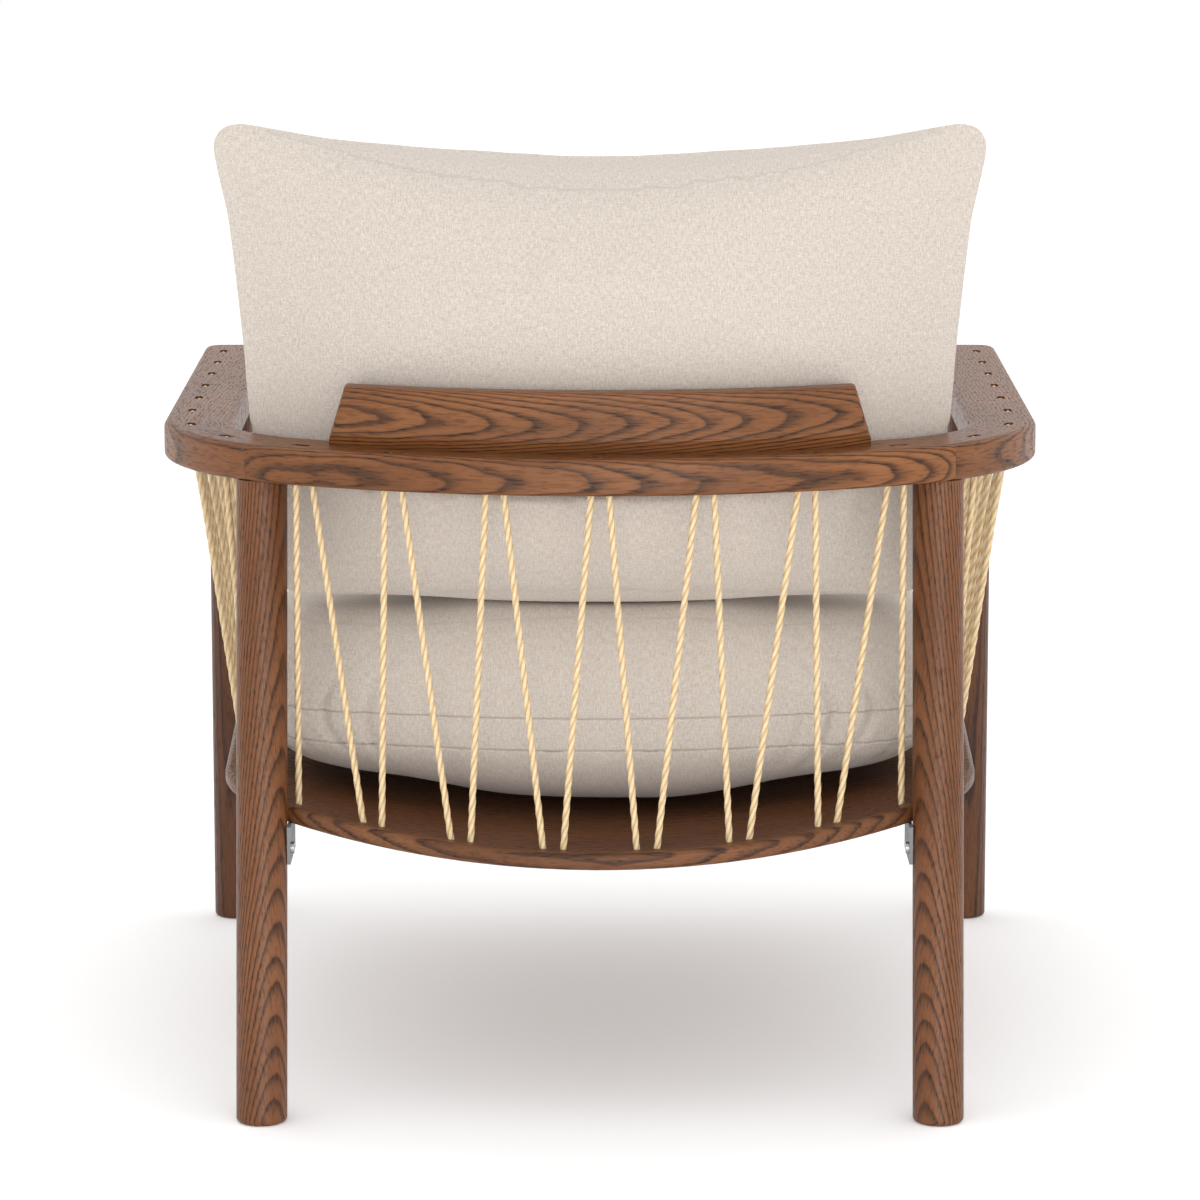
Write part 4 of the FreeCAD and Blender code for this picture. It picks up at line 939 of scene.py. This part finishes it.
def make_seat_cushion(material):
    """A D-shaped cushion of two crowned panels on a narrow band, lying in the dished board."""
    cushion = remeshed(merged_copy("seat_cushion_core", "seat_cushion"), voxel=6 * MM)
    co = coordinates(cushion)
    inset = seat_inset(co)
    # From its fullest line the cushion rolls under, off the board, and up to its top.
    board_rise = SHELL_INNER - np.sqrt(SHELL_INNER**2 - co[:, 0] ** 2)
    board = (SHELL_LOWEST + SHELL_THICKNESS) * MM + board_rise
    aside = smooth_step(np.abs(co[:, 0]), 0.16, 0.27)
    lifted = board + UNDER_LIFT * (1 - smooth_step(inset, 0.09, 0.26)) * (1 - 0.5 * aside)
    under = np.sqrt(1 - (1 - np.clip(inset / (ROLL_UNDER * (1 - 0.3 * aside)), 0, 1)) ** 2)
    over = np.sqrt(1 - (1 - np.clip(inset / ROLL_OVER, 0, 1)) ** 2)
    rise = co[:, 2] - SEAT_FULLEST
    drop = rise * (SEAT_FULLEST - lifted) / (SEAT_FULLEST - board)
    shaped = np.where(rise < 0, drop * (0.06 + 0.94 * under), rise * (0.25 + 0.75 * over))
    co[:, 2] = SEAT_FULLEST + shaped
    # Its rear corners are stuffed fuller than the plan.
    fuller = aside * smooth_step(co[:, 1], 0.10, 0.24)
    co[:, 0] *= 1 + 0.022 * fuller
    co[:, 1] += 9 * MM * fuller
    crown = SEAT_CROWN * smooth_step(inset, 0.0, 0.22) * (1 - smooth_step(co[:, 1], 0.05, 0.16))
    co[:, 2] += np.where(rise > 0.08, crown, 0)
    set_coordinates(cushion, co)
    cushion = remeshed(cushion, voxel=7.5 * MM)
    relax(cushion, 4)
    co = coordinates(cushion)
    edge = 1 - smooth_step(seat_inset(co), 0.0, 0.03)
    band = sum(np.exp(-(((co[:, 2] - height) / (7 * MM)) ** 2)) for height in SEAT_SEAMS)
    stuff(cushion, cap=10 * MM, gathers=np.clip(band, 0, 1) * edge)
    relax(cushion, 6)
    relax(cushion, 30, below=SEAT_SEAMS[0] - 8 * MM)
    for _ in range(4):
        relax(cushion, 2)
        press_under_back(cushion)
        lay_in_shell(cushion)
    cushion = subdivide(cushion)
    pucker(cushion, SEAT_FOLDS)
    for height in SEAT_SEAMS:
        sew_round(cushion, height)
    cloth_attribute(cushion, wall_share=0.75)
    finish_cushion(cushion, material, "seat_cushion_cover", "seat_cushion_core")


def press_under_back(cushion):
    """The back cushion's foot keeps the seat's rear down at the line where they meet."""
    co = coordinates(cushion)
    limit = seat_line(co[:, 0]) - CUSHION_CLEAR + (1 - smooth_step(co[:, 1], 0.09, 0.15)) * 0.05
    co[:, 2] = np.minimum(co[:, 2], limit)
    set_coordinates(cushion, co)


def pucker(cushion, folds):
    """Upright creases in the cushion's rear wall, each (x, z, length, width, depth, lean)."""
    co, normals = coordinates(cushion), vertex_normals(cushion)
    rear = smooth_step(co[:, 1], 0.12, 0.2) * smooth_step(normals[:, 1], 0.0, 0.3)
    push = np.zeros(len(co))
    for x, z, length, width, depth, lean in folds:
        up = (co[:, 2] - z) / length
        off = (co[:, 0] - x - math.copysign(lean, -x) * up**2) / width
        # A sharp valley with a soft swelling on either side of it.
        push += depth * np.exp(-(up**2)) * (np.exp(-(off**2)) - 0.45 * np.exp(-((off / 2.6) ** 2)))
    set_coordinates(cushion, co - normals * (push * rear)[:, None])


def sew_round(cushion, height):
    """A seam round the wall at one height: an extra row of edges, drawn in by its stitches."""
    grown = bmesh.new()
    grown.from_mesh(cushion.data)
    for step in (-SEAM_WIDTH, 0.0, SEAM_WIDTH):
        bmesh.ops.bisect_plane(
            grown, geom=grown.verts[:] + grown.edges[:] + grown.faces[:], dist=1e-6,
            plane_co=(0, 0, height + step), plane_no=(0, 0, 1),
        )
    grown.normal_update()
    # The seam layer marks the seam's middle row, which the linen material darkens as painted shade.
    layer = grown.verts.layers.float.get("seam") or grown.verts.layers.float.new("seam")
    for vertex in grown.verts:
        if abs(vertex.co.z - height) < 1e-5:
            vertex[layer] = 1.0
            vertex.co -= vertex.normal * SEAM_SINK
    grown.to_mesh(cushion.data)
    grown.free()
    cushion.data.polygons.foreach_set("use_smooth", [True] * len(cushion.data.polygons))


def lay_in_shell(cushion):
    """Keeps every point half a millimetre off the dished board's upper face, or more."""
    co = coordinates(cushion)
    axis, radius = SHELL_AXIS * MM, (SHELL_OUTER - SHELL_THICKNESS - 0.5) * MM
    reach = np.hypot(co[:, 0], axis - co[:, 2])
    over = reach > radius
    scale = radius / reach[over]
    co[over, 0] *= scale
    co[over, 2] = axis - (axis - co[over, 2]) * scale
    set_coordinates(cushion, co)


def finish_cushion(cushion, material, cover, core):
    cushion.data.materials.clear()
    cushion.data.materials.append(material)
    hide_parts(cover, core)
    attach(cushion, "root")


# ------------------------------------------------------------------- CAD surfaces


def paint(material, *nodes):
    for node in nodes:
        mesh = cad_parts[node].data
        mesh.materials.clear()
        mesh.materials.append(material)


def paint_timber():
    behind, above = RAIL_REAR + 35 * MM, RAIL_TOP + 26 * MM
    band = stained_oak(
        "stained_oak_rail_back", grain=0, pith=(0.0, behind, RAIL_TOP - 22 * MM), taper=-0.05,
        ring_mm=3.2, seed=1.7, run="bent", wander_mm=15, ripple_mm=2.0,
    )
    paint(band, "rail_back")
    crest = stained_oak(
        "stained_oak_crest", grain=0, pith=(0.0, RAIL_REAR + 6 * MM, above), taper=-0.062,
        ring_mm=2.6, seed=4.1, run="bent", wander_mm=11, ripple_mm=1.5,
    )
    paint(crest, "crest_board")
    for name, seed in (("left", 2.2), ("right", 7.3)):
        arm = stained_oak(
            f"stained_oak_arm_{name}", grain=1, pith=(0.262, 0.0, RAIL_TOP - 20 * MM), taper=0.045,
            ring_mm=3.6, seed=seed, run="cornered", wander_mm=15, ripple_mm=2.0,
        )
        paint(arm, f"rail_arm_{name}")
    # The front legs get darker tones than the back legs, as painted shade on the same oak.
    for end, y in (("back", 0.33), ("front", -0.374)):
        for name, sign in (("left", 1), ("right", -1)):
            leg = stained_oak(
                f"stained_oak_leg_{end}_{name}", grain=2, pith=(sign * 0.36, y - 0.06, 0.0),
                taper=0.012, ring_mm=3.2, seed=3.0 + sign + y * 9, tones=LEG_TONES_FRONT_SHADED[end],
                wander_mm=7, ripple_mm=1.6,
            )
            paint(leg, f"leg_{end}_{name}")
    board = stained_oak(
        "stained_oak_board", grain=0, pith=(0.0, 0.05, 0.05), taper=0.03,
        ring_mm=6.5, seed=5.5, tones=BOARD_TONES,
    )
    paint(board, "seat_shell")
    beech = stained_oak(
        "plain_beech", grain=0, pith=(0.0, 0.1, 0.5), taper=0.02,
        ring_mm=3.0, seed=9.0, tones=BEECH_TONES,
    )
    paint(beech, "rail_dowels")


def paint_fixings():
    brackets = [f"bracket_{end}_{name}" for end in ("back", "front") for name in ("left", "right")]
    paint(plated_metal("grey_powder_coat", "#7E8083", 0.5, metallic=0.0, grit_mm=0.8), *brackets)
    zinc = plated_metal("zinc_plated_steel", "#A9ABAE", 0.34)
    paint(zinc, "bracket_bolts", "shell_screws", "crest_screws")
    paint(plated_metal("turned_brass", "#C49A55", 0.3), "leg_inserts")


make_camera()
make_studio()
paint_timber()
paint_fixings()
make_lacing(laid_paper_cord("laid_paper_cord"))
linen = linen_weave("cream_linen_weave")
make_back_cushion(linen)
make_seat_cushion(linen)
